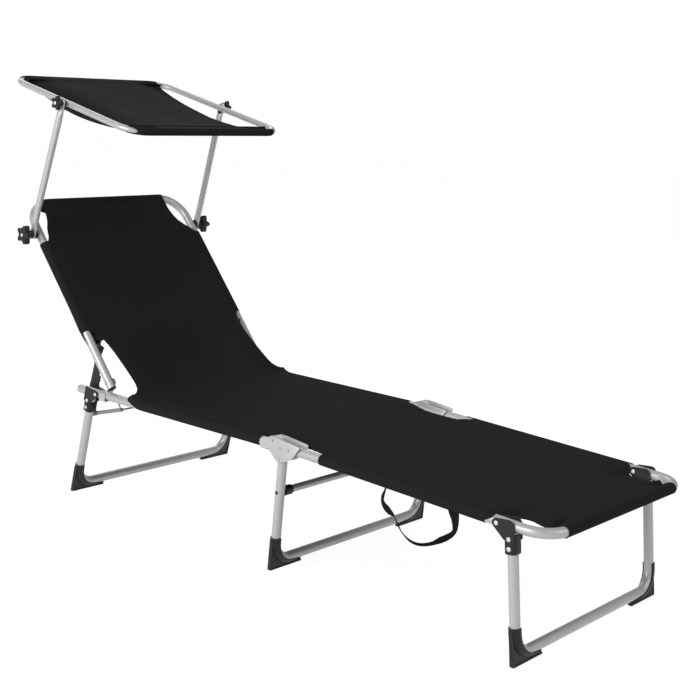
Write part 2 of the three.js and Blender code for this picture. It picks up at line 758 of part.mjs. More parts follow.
// Canopy, in a frame with its pivot at the origin and its head side along +Y
const canopySheetBottom = canopyTubeRadius + clearance;
const canopySheetTop = canopySheetBottom + cloth;

// The ring is bent from one tube, whose ends meet inside the sleeve at the foot side
function canopyFrame() {
  const stations = bent([
    [clearance, -canopyFootReach, 0], [canopyX, -canopyFootReach, 0], [canopyX, canopyHeadReach, 0],
    [-canopyX, canopyHeadReach, 0], [-canopyX, -canopyFootReach, 0], [-clearance, -canopyFootReach, 0],
  ], canopyBend);
  return shaped([tube(stations, canopyTubeRadius)],
    [hole(0, 0, boltRadius, canopyX), hole(0, 0, boltRadius, -canopyX)]);
}

const canopyCut = { crossInset: 58, waistInset: 44, waistSpan: 90 };

function canopyFabric() {
  const cross = canopyX - canopyCut.crossInset;
  const waist = canopyX - canopyCut.waistInset;
  const edge = canopyX - canopyTubeRadius - edgeRound;
  const sheet = symmetric([
    [cross, -canopyFootReach], [edge, -canopyFootReach + canopyBend], [waist, -canopyCut.waistSpan],
    [waist, canopyCut.waistSpan], [edge, canopyHeadReach - canopyBend], [cross, canopyHeadReach],
  ]);
  const sleeve = (y) => barX(canopySheetTop, -cross, cross, y, 0, tubeSides);
  const bore = (y) => barX(around(canopyTubeRadius, tubeSides), -canopyX, canopyX, y, 0, tubeSides);
  return shaped([
    plateZ(sheet, canopySheetBottom, canopySheetTop), sleeve(-canopyFootReach), sleeve(canopyHeadReach),
  ], [bore(-canopyFootReach), bore(canopyHeadReach)]);
}

const clipFoot = 7;

function canopyClip() {
  const start = canopyX + canopyTubeRadius + clearance;
  const end = armTopX - armFlat / 2 - clearance;
  const outline = belt([[0, 0, canopyTubeRadius], [0, -canopyTubeRadius - edgeRound, clipFoot]]);
  return shaped([plateX(outline, start, end)], [hole(0, 0, boltRadius, canopyX)]);
}

// Assembly
const footPivotHeight = heightOf(-footRivetReach, 0, footSlope);
const middlePivotHeight = heightOf(-middlePivotReach, -middlePivotDrop, footSlope);
const headPivotHeight = heightOf(headRivetReach, 0, seatSlope);
const footLegDepth = legDepth(footPivotHeight, -legOffset, footLegLean);
const middleLegDepth = legDepth(middlePivotHeight, 0, middleLegLean);
const headLegDepth = legDepth(headPivotHeight, legOffset, headLegLean);
const legTop = sleeveTop + sheetSteel;

const footLeg = group([0, -footRivetReach, 0], footLegLean - footSlope,
  named('foot_leg_tube', silver, legTube(-legOffset, legTop, footLegDepth, legRivetDrops)),
  pair('foot_leg_bracket', plastic, legBracket(-legOffset, footLegLean - footSlope, false)),
  pair('foot_leg_shoe', plastic, legShoe(-legOffset, footLegDepth, footLegLean)));

const middleLeg = group([0, -middlePivotReach, -middlePivotDrop], middleLegLean - footSlope,
  named('middle_leg_tube', silver, legTube(0, -tubeRadius + clearance, middleLegDepth, [0, braceDrop])),
  pair('middle_leg_shoe', plastic, legShoe(0, middleLegDepth, middleLegLean)),
  named('middle_leg_brace', darkSteel, brace()),
  pair('brace_end_cap', plastic, braceEndCap()));

const footSection = group([0, 0, 0], footSlope, group([0, 0, -railDrop], 0,
  named('foot_frame_tube', silver, footFrameTube()),
  pair('foot_hinge_plate', steel, footHingePlate()),
  named('foot_fabric', fabric, footFabric()),
  named('carry_strap', webbing, carryStrap()),
  footLeg, middleLeg));

const headLeg = group([0, headRivetReach, 0], headLegLean - seatSlope,
  named('head_leg_tube', silver, headLegTube()),
  pair('head_leg_bracket', plastic, legBracket(legOffset, headLegLean - seatSlope, true)),
  pair('head_leg_shoe', plastic, legShoe(legOffset, headLegDepth, headLegLean)));

const canopy = group([0, armLength, 0], canopyAngle - armAngle,
  named('canopy_frame', silver, canopyFrame()),
  named('canopy_fabric', fabric, canopyFabric()),
  pair('canopy_clip', plastic, canopyClip()));

const canopyArms = group([0, armPivotReach, 0], armAngle - backAngle,
  pair('canopy_arm', silver, arm()),
  pair('arm_spacer', plastic, armSpacer()),
  pair('lower_knob', plastic, starKnob(lowerKnob, lowerKnobX)),
  group([0, armLength, 0], 0, pair('upper_knob', plastic, starKnob(upperKnob, upperKnobX))),
  canopy);

const backrest = group([0, backPivotReach, backPivotRise], backAngle - seatSlope,
  named('back_frame_tube', silver, backFrameTube()),
  pair('back_tube_plug', plastic, tubeEndPlug()),
  named('back_fabric', fabric, backFabric()),
  canopyArms);

const seatSection = group([0, 0, 0], seatSlope, group([0, 0, -railDrop], 0,
  pair('seat_rail', silver, seatRail()),
  pair('rail_end_cap', plastic, railEndCap()),
  pair('seat_hinge_strap', steel, seatHingeStrap()),
  pair('backrest_pivot_bracket', steel, backrestPivotBracket()),
  pair('stay_hook', darkSteel, stayHook()),
  named('seat_fabric', fabric, seatFabric()),
  group([0, rackPivotReach, rackPivotRise], -seatSlope, pair('backrest_rack', plastic, rack())),
  group([0, stayPivot().y, stayPivot().z], 0, named('leg_stay', darkSteel, legStay())),
  headLeg, backrest));

// The origin is on the floor, halfway between the outermost cloth at the foot and at the canopy
const footEdge = turned(-footReach, -railDrop, footSlope).y - sheetTop;
const pivotOfBack = turned(backPivotReach, backPivotRise - railDrop, seatSlope).y;
const pivotOfCanopy = pivotOfBack + armPivotReach * Math.cos(backAngle) + armLength * Math.cos(armAngle);
const headEdge = pivotOfCanopy + canopyHeadReach * Math.cos(canopyAngle) + canopySheetTop;

export default group([0, -(footEdge + headEdge) / 2, foldHeight], 0, footSection, seatSection);
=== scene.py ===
# %% [markdown]
# # A folding sun lounger with a tilting canopy
#
# The lounger is a frame of bent aluminium tubes with black cloth stretched over it.
# Its measured parts come ready made, as a fixed frame in metres with +Z up. This lesson dresses
# that frame: round tubes, sewn cloth, moulded plastic and pressed steel, each riding on its body.

# %% Load the frame
import json
import math

import bmesh
import bpy
import numpy as np
from mathutils import Matrix, Vector


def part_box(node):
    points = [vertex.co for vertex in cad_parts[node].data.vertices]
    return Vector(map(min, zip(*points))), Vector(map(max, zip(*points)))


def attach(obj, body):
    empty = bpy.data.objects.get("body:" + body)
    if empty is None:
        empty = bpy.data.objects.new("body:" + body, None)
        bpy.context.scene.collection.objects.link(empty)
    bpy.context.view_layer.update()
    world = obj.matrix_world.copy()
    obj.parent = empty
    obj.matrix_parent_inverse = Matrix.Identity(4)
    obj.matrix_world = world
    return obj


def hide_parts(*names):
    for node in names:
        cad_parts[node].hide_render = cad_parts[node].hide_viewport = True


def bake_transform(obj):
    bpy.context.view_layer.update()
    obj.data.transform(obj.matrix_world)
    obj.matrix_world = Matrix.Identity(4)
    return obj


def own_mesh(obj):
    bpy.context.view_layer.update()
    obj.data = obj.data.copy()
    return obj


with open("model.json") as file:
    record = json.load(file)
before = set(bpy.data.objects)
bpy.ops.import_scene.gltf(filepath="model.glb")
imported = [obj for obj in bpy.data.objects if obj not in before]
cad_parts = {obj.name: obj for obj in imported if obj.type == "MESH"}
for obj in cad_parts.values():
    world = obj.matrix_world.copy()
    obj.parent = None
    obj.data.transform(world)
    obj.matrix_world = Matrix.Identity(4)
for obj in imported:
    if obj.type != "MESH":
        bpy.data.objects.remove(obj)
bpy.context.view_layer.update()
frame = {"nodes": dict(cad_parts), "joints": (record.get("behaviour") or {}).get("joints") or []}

# %% [markdown]
# ## The camera
#
# A product picture is taken from far away with a long lens, so that upright tubes stay upright.
# The camera could be aimed with a constraint, but plain angles are easier to read and to change:
# it stands in front on the left, a little over a metre high, and leans three degrees.

# %% Place the camera
CAMERA_PLACE = Vector((-2.2920, -2.1067, 1.1086))
CAMERA_AZIMUTH = math.radians(-48.70)
CAMERA_ELEVATION = math.radians(11.42)
CAMERA_ROLL = math.radians(3.04)
CAMERA_SENSOR = 36.0
FOCAL_LENGTH_SHARE = 1.9084


def make_camera():
    level = math.cos(CAMERA_ELEVATION)
    back = Vector((math.sin(CAMERA_AZIMUTH) * level, -math.cos(CAMERA_AZIMUTH) * level,
                   math.sin(CAMERA_ELEVATION)))
    right = Vector((0, 0, 1)).cross(back).normalized()
    up = back.cross(right)
    turned = Matrix((right, up, back)).transposed() @ Matrix.Rotation(CAMERA_ROLL, 3, "Z")
    data = bpy.data.cameras.new("camera")
    data.sensor_width = CAMERA_SENSOR
    data.lens = CAMERA_SENSOR * FOCAL_LENGTH_SHARE
    camera = bpy.data.objects.new("camera", data)
    camera.matrix_world = Matrix.Translation(CAMERA_PLACE) @ turned.to_4x4()
    bpy.context.scene.collection.objects.link(camera)
    bpy.context.scene.camera = camera
    print("camera lens", round(data.lens, 1), "mm")


make_camera()

# %% [markdown]
# ## Where the sections lie
#
# Every section of the lounger turns about a pivot, and the frame knows these pivots.
# A section's own axes make the rest simple: Y runs along its tubes and Z stands off its cloth.
# The tilt of each section follows from two pivots on it, so nothing here is measured twice.

# %% Axes of the sections
pivot = {joint["name"]: Vector(joint["pos_m"]) for joint in frame["joints"]}
H = pivot["foot_fold"]
RAIL_X = 0.265
RAIL_DROP = 0.0125
TUBE = 0.011
LEG_OFFSET = 0.028
FOOT_LEG_LEAN = math.radians(-7)
MIDDLE_LEG_LEAN = math.radians(3.1)
HEAD_LEG_LEAN = math.radians(12.8)


def tilt_between(a, b):
    return math.atan2(b.z - a.z, b.y - a.y)


def section(origin, tilt):
    return Matrix.Translation(origin) @ Matrix.Rotation(tilt, 4, "X")


def rail_section(tilt):
    return section(H, tilt) @ Matrix.Translation((0, 0, -RAIL_DROP))


seat_reach = (pivot["head_leg_fold"] - H).length
foot_reach = (pivot["foot_leg_fold"] - H).length
seat_tilt = tilt_between(H, pivot["head_leg_fold"]) + math.asin(RAIL_DROP / seat_reach)
foot_tilt = tilt_between(pivot["foot_leg_fold"], H) - math.asin(RAIL_DROP / foot_reach)
SEAT = rail_section(seat_tilt)
FOOT = rail_section(foot_tilt)
back_tilt = tilt_between(pivot["backrest_recline"], pivot["canopy_arm_swing"])
BACK = section(pivot["backrest_recline"], back_tilt)
ARMS = section(pivot["canopy_arm_swing"], tilt_between(pivot["canopy_arm_swing"], pivot["canopy_tilt"]))
low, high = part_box("canopy_frame")
CANOPY_TUBE = 0.008
canopy_tilt = math.atan2(high.z - low.z - 2 * CANOPY_TUBE, high.y - low.y - 2 * CANOPY_TUBE)
CANOPY = section(pivot["canopy_tilt"], canopy_tilt)
FOOT_LEG = section(pivot["foot_leg_fold"], FOOT_LEG_LEAN)
MIDDLE_LEG = section(pivot["middle_leg_fold"], MIDDLE_LEG_LEAN)
HEAD_LEG = section(pivot["head_leg_fold"], HEAD_LEG_LEAN)
STAY = section(pivot["stay_turn"], seat_tilt)
print("tilts", [round(math.degrees(t), 2) for t in (foot_tilt, seat_tilt, back_tilt, canopy_tilt)])


def along(axes, place):
    """How far a point lies along a section's tubes."""
    return (axes.inverted() @ Vector(place)).y


# %% [markdown]
# ## Finishes
#
# Each finish is a small net of nodes. The shader's own sockets hold what is the same all over,
# and noise, waves and bumps add what is not: satin streaks, moulded grain and woven threads.
# Textures drawn by hand would look real too, but nodes stay sharp at any distance.

# %% A helper for node materials
def start_finish(name, colour, roughness, metallic=0.0, specular=0.5):
    finish = bpy.data.materials.new(name)
    finish.use_nodes = True
    shader = finish.node_tree.nodes["Principled BSDF"]
    shader.inputs["Base Color"].default_value = (*colour, 1)
    shader.inputs["Roughness"].default_value = roughness
    shader.inputs["Metallic"].default_value = metallic
    shader.inputs["Specular IOR Level"].default_value = specular
    return finish, shader


def add(finish, kind, **values):
    node = finish.node_tree.nodes.new(kind)
    for name, value in values.items():
        if name in node.inputs:
            node.inputs[name].default_value = value
        else:
            setattr(node, name, value)
    return node


def link(finish, source, target):
    finish.node_tree.links.new(source, target)


def speckle(finish, source, scale, detail=3.0):
    """Noise in the piece's own coordinates, or in the ones given."""
    noise = add(finish, "ShaderNodeTexNoise", Scale=scale, Detail=detail)
    link(finish, source, noise.inputs["Vector"])
    return noise.outputs["Fac"]


def spread(finish, source, low, high):
    """Values from 0 to 1, stretched to lie between low and high."""
    ramp = add(finish, "ShaderNodeMapRange")
    ramp.inputs["To Min"].default_value = low
    ramp.inputs["To Max"].default_value = high
    link(finish, source, ramp.inputs["Value"])
    return ramp.outputs["Result"]


def two_tones(finish, source, dark, light):
    mix = add(finish, "ShaderNodeMix", data_type="RGBA")
    mix.inputs["A"].default_value = (*dark, 1)
    mix.inputs["B"].default_value = (*light, 1)
    link(finish, source, mix.inputs["Factor"])
    return mix.outputs["Result"]


def raise_surface(finish, shader, height, distance, strength=1.0):
    bump = add(finish, "ShaderNodeBump", Distance=distance, Strength=strength)
    link(finish, height, bump.inputs["Height"])
    link(finish, bump.outputs["Normal"], shader.inputs["Normal"])


# %% [markdown]
# ### Metals
#
# The tubes are satin aluminium: bright, but blurred, with faint streaks from drawing the tube.
# Low noise changes the roughness a little, and fine noise gives the satin its tooth.
# The hinges are pressed and plated steel, a little greyer, and the rivets are brighter.

# %% Aluminium and steel
def make_metal(name, light, dark, roughness, metallic, grain):
    finish, shader = start_finish(name, light, roughness, metallic)
    place = add(finish, "ShaderNodeTexCoord").outputs["Object"]
    cloudy = speckle(finish, place, 14)
    link(finish, two_tones(finish, cloudy, dark, light), shader.inputs["Base Color"])
    fine = speckle(finish, place, grain)
    link(finish, spread(finish, fine, roughness - 0.06, roughness + 0.08), shader.inputs["Roughness"])
    raise_surface(finish, shader, fine, 0.00004)
    return finish


aluminium = make_metal("satin_aluminium", (0.46, 0.463, 0.468), (0.41, 0.413, 0.418), 0.42, 0.45, 900)
hinge_steel = make_metal("plated_steel", (0.48, 0.485, 0.49), (0.42, 0.425, 0.43), 0.42, 0.35, 500)
wire_steel = make_metal("grey_wire", (0.27, 0.27, 0.275), (0.22, 0.22, 0.225), 0.46, 0.3, 500)
rivet_steel = make_metal("bright_rivets", (0.62, 0.62, 0.63), (0.56, 0.56, 0.57), 0.32, 0.5, 300)


# %% [markdown]
# ### Black plastic
#
# The shoes, brackets and knobs are moulded. Their mould was etched, so the surface has a fine grain
# that blurs its gloss, and edges that rub look slightly paler than the flat faces.

# %% Moulded plastic
def make_plastic():
    finish, shader = start_finish("moulded_plastic", (0.011, 0.011, 0.0115), 0.46, 0.0, 0.3)
    place = add(finish, "ShaderNodeTexCoord").outputs["Object"]
    worn = speckle(finish, place, 45, 4)
    link(finish, two_tones(finish, worn, (0.008, 0.008, 0.0085), (0.014, 0.014, 0.0145)),
         shader.inputs["Base Color"])
    grain = speckle(finish, place, 1400, 2)
    link(finish, spread(finish, grain, 0.42, 0.56), shader.inputs["Roughness"])
    raise_surface(finish, shader, grain, 0.00006)
    return finish


plastic = make_plastic()


# %% [markdown]
# ### Woven cloth
#
# The cloth is a tight plain weave of black thread. Its pattern follows the flat cut of the cloth,
# kept as a UV map in metres, so the threads run straight along the sheet and round the sleeves.
# One wave across and one along, multiplied, give the crowns where the threads cross.

# %% Cloth and webbing
THREAD_PITCH = 0.0011
WEBBING_PITCH = 0.0016
WEBBING_RIBS = 0.5
# A wave texture of scale 1 repeats after this length
WAVE_PERIOD = 0.314159


def make_cloth(name, dark, light, pitch, ribs=1.0):
    finish, shader = start_finish(name, light, 0.85, 0.0, 0.04)
    cut = add(finish, "ShaderNodeUVMap", uv_map="cut").outputs["UV"]
    waves = []
    for direction, scale in (("X", WAVE_PERIOD / pitch), ("Y", ribs * WAVE_PERIOD / pitch)):
        wave = add(finish, "ShaderNodeTexWave", bands_direction=direction, Scale=scale)
        link(finish, cut, wave.inputs["Vector"])
        waves.append(wave.outputs["Fac"])
    crowns = add(finish, "ShaderNodeMath", operation="MULTIPLY")
    link(finish, waves[0], crowns.inputs[0])
    link(finish, waves[1], crowns.inputs[1])
    link(finish, two_tones(finish, crowns.outputs["Value"], dark, light), shader.inputs["Base Color"])
    faded = speckle(finish, cut, 9, 4)
    link(finish, spread(finish, faded, 0.78, 0.92), shader.inputs["Roughness"])
    raise_surface(finish, shader, crowns.outputs["Value"], 0.00018, 0.6)
    return finish


cloth_finish = make_cloth("black_weave", (0.0125, 0.0125, 0.0128), (0.0205, 0.0205, 0.021),
                          THREAD_PITCH)
webbing_finish = make_cloth("black_webbing", (0.006, 0.006, 0.0065), (0.016, 0.016, 0.0165),
                            WEBBING_PITCH, WEBBING_RIBS)
thread_finish = start_finish("black_thread", (0.02, 0.02, 0.021), 0.6, 0.0, 0.4)[0]
print("finishes", len(bpy.data.materials))


# %% [markdown]
# ## Helpers for shapes
#
# Most pieces are one of four kinds: a tube swept along a bent line, a flat plate with a rounded
# outline, a small turned piece, or a sheet. A mesh made from points is exact and quick, and a
# bevel modifier then breaks the edges, which is what makes a piece look moulded or pressed.

# %% Make a piece from points and faces
def make_piece(name, points, faces, finish, body, slot=None, replaces=(), closed=True):
    mesh = bpy.data.meshes.new(name)
    mesh.from_pydata([tuple(p) for p in points], [], faces)
    if closed:
        work = bmesh.new()
        work.from_mesh(mesh)
        bmesh.ops.recalc_face_normals(work, faces=work.faces)
        work.to_mesh(mesh)
        work.free()
    mesh.materials.append(finish)
    piece = bpy.data.objects.new(name, mesh)
    bpy.context.scene.collection.objects.link(piece)
    for face in mesh.polygons:
        face.use_smooth = True
    if body:
        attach(piece, body)
    if replaces:
        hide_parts(*replaces)
    return piece


def sharpen(piece, degrees=38):
    """Smooth shading, except across edges that turn by more than this."""
    piece.data.set_sharp_from_angle(angle=math.radians(degrees))
    return piece


def soften(piece, width, segments=3, degrees=35):
    """Rounds a piece's edges over, as a mould or a press leaves them."""
    bevel = piece.modifiers.new("rounded_edges", "BEVEL")
    bevel.width = width
    bevel.segments = segments
    bevel.limit_method = "ANGLE"
    bevel.angle_limit = math.radians(degrees)
    bevel.harden_normals = True
    return piece


def join_parts(parts):
    """Several lists of points and faces as one."""
    points, faces = [], []
    for more_points, more_faces in parts:
        start = len(points)
        points.extend(more_points)
        faces.extend([tuple(start + i for i in face) for face in more_faces])
    return points, faces


def skin(rings, sides, ring_shut=False):
    """Faces between rings of points, with a lid on both ends unless the last ring meets the first."""
    faces = []
    for i in range(rings if ring_shut else rings - 1):
        for k in range(sides):
            a, b = i * sides, ((i + 1) % rings) * sides
            faces.append((a + k, a + (k + 1) % sides, b + (k + 1) % sides, b + k))
    if not ring_shut:
        faces += [tuple(range(sides)), tuple(range((rings - 1) * sides, rings * sides))]
    return faces


def slab_faces(count):
    """Faces of a slab whose two outlines have count points each."""
    wall = [(i, (i + 1) % count, count + (i + 1) % count, count + i) for i in range(count)]
    return [tuple(range(count)), tuple(range(count, 2 * count))[::-1]] + wall


def smooth(x):
    """From 0 to 1 with a soft start and end."""
    x = min(max(x, 0), 1)
    return x * x * (3 - 2 * x)


# %% Sweep a tube along a bent line
TUBE_SIDES = 28
BEND_STEPS = 12


def rounded(corners, radius, steps=BEND_STEPS):
    corners = [Vector(c) for c in corners]
    line = [corners[0]]
    for before, corner, after in zip(corners, corners[1:], corners[2:]):
        inward, outward = (corner - before).normalized(), (after - corner).normalized()
        turn = inward.angle(outward)
        side = (outward - inward * math.cos(turn)).normalized()
        start = corner - inward * radius * math.tan(turn / 2)
        for k in range(steps + 1):
            swing = turn * k / steps
            line.append(start + inward * radius * math.sin(swing)
                        + side * radius * (1 - math.cos(swing)))
    return line + [corners[-1]]


def swept(line, radii, sides=TUBE_SIDES, across=Vector((1, 0, 0)), ring_shut=False):
    """Points and faces of a tube. radii holds one radius, or a pair for each point of the line."""
    count = len(line)
    if not hasattr(radii, "__len__"):
        radii = [(radii, radii)] * count
    points = []
    side = across
    for i, centre in enumerate(line):
        before = line[(i - 1) % count] if ring_shut or i else centre
        after = line[(i + 1) % count] if ring_shut or i < count - 1 else centre
        ahead = ((after - centre).normalized() + (centre - before).normalized()).normalized()
        side = side - ahead * side.dot(ahead)
        if side.length < 0.05:
            side = ahead.orthogonal()
        side.normalize()
        other = ahead.cross(side)
        for k in range(sides):
            turn = 2 * math.pi * k / sides
            points.append(centre + side * radii[i][0] * math.cos(turn)
                          + other * radii[i][1] * math.sin(turn))
    return points, skin(count, sides, ring_shut)


def in_section(axes, places):
    return [axes @ Vector(p) for p in places]


# %% [markdown]
# ## The tubes
#
# Each tube of the frame was bent from one length of pipe, with the same radius at both corners.
# A curve with a bevel would do, but a swept mesh keeps full control of its ends.

# %% Bent tubes of the frame and the legs
FOOT_REACH = 0.727
FOOT_BEND = 0.058
BACK_REACH = 0.554
BACK_TAIL = 0.017
BACK_BEND = 0.071
RAIL_START = 0.009
FOOT_RAIL_START = 0.013
RAIL_TAIL = 0.077
LEG_BEND = 0.045
CROSSBAR_HEIGHT = 0.020
LEG_TOP = 0.018


def bent_tube(name, axes, corners, bend, radius, body, replaces):
    points, faces = swept(rounded(in_section(axes, corners), bend), radius)
    sharpen(make_piece(name, points, faces, aluminium, body, "frame_aluminium", replaces), 60)


def u_shape(half, end, reach):
    return [(half, end, 0), (half, reach, 0), (-half, reach, 0), (-half, end, 0)]


bent_tube("foot_frame", FOOT, u_shape(RAIL_X, -FOOT_RAIL_START, -FOOT_REACH), FOOT_BEND, TUBE,
          "foot_section", ["foot_frame_tube"])
bent_tube("back_frame", BACK, u_shape(RAIL_X, -BACK_TAIL, BACK_REACH), BACK_BEND, TUBE,
          "backrest", ["back_frame_tube"])
head_pivot_reach = along(SEAT, pivot["head_leg_fold"])
SIDES = (("left", -1), ("right", 1))
for side_name, side in SIDES:
    rail = [(side * RAIL_X, -RAIL_START, 0), (side * RAIL_X, head_pivot_reach + RAIL_TAIL, 0)]
    bent_tube(f"rail_{side_name}", SEAT, rail, FOOT_BEND, TUBE, "seat_frame",
              [f"seat_rail_{side_name}"])


def leg_depth(axes, offset):
    """How far below its pivot a leg's crossbar lies, in the leg's own axes."""
    lean = math.atan2(axes[2][1], axes[2][2])
    return (axes.translation.z + offset * math.sin(lean) - CROSSBAR_HEIGHT) / math.cos(lean)


def bent_leg(name, axes, offset, top, body, node):
    depth = leg_depth(axes, offset)
    corners = [(RAIL_X, offset, -top), (RAIL_X, offset, -depth), (-RAIL_X, offset, -depth),
               (-RAIL_X, offset, -top)]
    print(name, "crossbar", round(depth, 4), "m below the pivot")
    bent_tube(name, axes, corners, LEG_BEND, TUBE, body, [node])


bent_leg("foot_leg_bar", FOOT_LEG, -LEG_OFFSET, LEG_TOP, "foot_leg", "foot_leg_tube")
bent_leg("middle_leg_bar", MIDDLE_LEG, 0, -TUBE, "middle_leg", "middle_leg_tube")
bent_leg("head_leg_bar", HEAD_LEG, LEG_OFFSET, LEG_TOP, "head_leg", "head_leg_tube")

# %% Brace of the middle leg
BRACE_DROP = 0.080
BRACE_RADIUS = 0.0085
BRACE_GAP = 0.004
brace_end = RAIL_X - TUBE - BRACE_GAP
bent_tube("leg_brace", MIDDLE_LEG, [(-brace_end, 0, -BRACE_DROP), (brace_end, 0, -BRACE_DROP)],
          LEG_BEND, BRACE_RADIUS, "middle_leg", ["middle_leg_brace"])

# %% [markdown]
# The canopy's ring is thinner tube. Its two ends meet inside the sleeve at the foot side,
# where nobody sees the joint, so here it is simply one closed ring.

# %% Ring of the canopy
CANOPY_HALF = 0.259
CANOPY_HEAD = 0.246
CANOPY_FOOT = 0.260
CANOPY_BEND = 0.056
ring_corners = [(0, -CANOPY_FOOT, 0), (CANOPY_HALF, -CANOPY_FOOT, 0), (CANOPY_HALF, CANOPY_HEAD, 0),
                (-CANOPY_HALF, CANOPY_HEAD, 0), (-CANOPY_HALF, -CANOPY_FOOT, 0), (0, -CANOPY_FOOT, 0)]
ring_line = rounded(in_section(CANOPY, ring_corners), CANOPY_BEND)[:-1]
ring_points, ring_faces = swept(ring_line, CANOPY_TUBE, across=Vector((0, 0, 1)), ring_shut=True)
make_piece("canopy_ring", ring_points, ring_faces, aluminium, "canopy", "frame_aluminium",
           ["canopy_frame"])

# %% [markdown]
# The arms of the canopy are round tubes pressed flat at both ends, where a bolt goes through.
# Sweeping an oval whose width and thickness change along the line gives that pressed end.

# %% Arms with flattened ends
ARM_X = 0.286
ARM_TOP_X = 0.275
ARM_RADIUS = 0.0085
ARM_FLAT = 0.0035
ARM_PADDLE = 0.012
ARM_SHOULDER = 0.062
ARM_NECK = 0.046
ARM_ROUNDING = 0.022
ARM_STATIONS = 64
ARM_CROWDING = 0.8
LEAST_TIP = 0.004
arm_length = (pivot["canopy_tilt"] - pivot["canopy_arm_swing"]).length


def arm_shape(side):
    """The line of an arm, with its half thickness and half width at each point."""
    places, radii = [], []
    for i in range(ARM_STATIONS + 1):
        share = i / ARM_STATIONS
        crowded = share - math.sin(4 * math.pi * share) / (4 * math.pi) * ARM_CROWDING
        y = -ARM_PADDLE + (arm_length + 2 * ARM_PADDLE) * crowded
        from_end = min(y, arm_length - y)
        bend = min(max((y - ARM_SHOULDER) / (arm_length - ARM_NECK - ARM_SHOULDER), 0), 1)
        x = ARM_X + (ARM_TOP_X - ARM_X) * bend
        round_share = smooth((from_end - ARM_PADDLE) / ARM_ROUNDING)
        width = ARM_PADDLE
        if from_end < 0:
            width = ARM_PADDLE * math.sqrt(max(1 - (from_end / ARM_PADDLE) ** 2, LEAST_TIP))
        radii.append((ARM_FLAT + (ARM_RADIUS - ARM_FLAT) * round_share,
                      width + (ARM_RADIUS - ARM_PADDLE) * round_share))
        places.append((side * x, y, 0))
    return in_section(ARMS, places), radii


for side_name, side in SIDES:
    arm_line, arm_radii = arm_shape(side)
    arm_points, arm_faces = swept(arm_line, arm_radii)
    make_piece(f"arm_{side_name}", arm_points, arm_faces, aluminium, "canopy_arms", "frame_aluminium",
               [f"canopy_arm_{side_name}"])
print("arm length", round(arm_length, 4))

# %% [markdown]
# The leg stay is a pair of thin bars, joined across the lounger by a wire that hooks under the rails.

# %% Stay of the head leg
STAY_X = 0.2443
STAY_RADIUS = 0.005
EYE_SHARE = 1.3
WIRE_RADIUS = 0.00225
WIRE_REACH = 0.573
WIRE_DROP = 0.033
wire_end = STAY.inverted() @ (SEAT @ Vector((0, WIRE_REACH, -WIRE_DROP)))
stay_parts = []
for _, side in SIDES:
    bar = in_section(STAY, [(side * STAY_X, 0, 0), (side * STAY_X, wire_end.y, wire_end.z)])
    stay_parts.append(swept(bar, STAY_RADIUS, 16))
    eye = in_section(STAY, [(side * (STAY_X + way * STAY_RADIUS), 0, 0) for way in (-1, 1)])
    stay_parts.append(swept(eye, STAY_RADIUS * EYE_SHARE, 16, Vector((0, 1, 0))))
wire = in_section(STAY, [(-STAY_X, wire_end.y, wire_end.z), (STAY_X, wire_end.y, wire_end.z)])
stay_parts.append(swept(wire, WIRE_RADIUS, 12, Vector((0, 1, 0))))
stay_points, stay_faces = join_parts(stay_parts)
sharpen(make_piece("head_leg_stay", stay_points, stay_faces, wire_steel, "leg_stay", "dark_steel",
                   ["leg_stay"]), 60)


# %% [markdown]
# ## Plastic shoes and brackets
#
# A shoe is clipped round each lower corner of a leg. A round collar follows the bend of the tube
# and thins out in a toe under the crossbar. Outside it a thin web with a rim fills the corner down
# to the floor. A mould could make it solid, but a thin web saves plastic and cools evenly.
# The collar is swept, the web and its rim are plates cut level with the floor.

# %% Shoes
SHOE_SIDE = 0.015
SHOE_TOP = 0.077
SHOE_TOE = 0.102
SHOE_HALF = 0.0135
TOP_CUT = -0.005
BEND_CUT = 0.005
TOE_CUT = 0.0126
WEB_HALF = 0.0035
WEB_ARC = 0.052
RIM_HALF = 0.005
SHOE_RIM = 0.0026
STATIONS = 14
TOE_STEPS = 5
WEB_CORNER = 0.008
WEB_TOP_GAP = 0.002
WEB_FROM, WEB_TURN = 10, 80
WEB_LIFT = 0.0003
RIM_INNER, RIM_OUTER = 0.004, 0.006


def collar_stations():
    """Along the tube in a shoe: centre, direction away from the bend, and where the collar ends."""
    bend = Vector((SHOE_SIDE + LEG_BEND, CROSSBAR_HEIGHT + LEG_BEND))
    stations = [(Vector((SHOE_SIDE, SHOE_TOP)), Vector((-1, 0)), TOP_CUT)]
    for i in range(STATIONS + 1):
        share = i / STATIONS
        away = Vector((-math.cos(share * math.pi / 2), -math.sin(share * math.pi / 2)))
        stations.append((bend + away * LEG_BEND, away, TOP_CUT + (BEND_CUT - TOP_CUT) * share ** 2))
    for i in range(1, TOE_STEPS + 1):
        share = i / TOE_STEPS
        centre = Vector((bend.x + (SHOE_TOE - bend.x) * share, CROSSBAR_HEIGHT))
        stations.append((centre, Vector((0, -1)), BEND_CUT + (TOE_CUT - BEND_CUT) * share))
    return stations


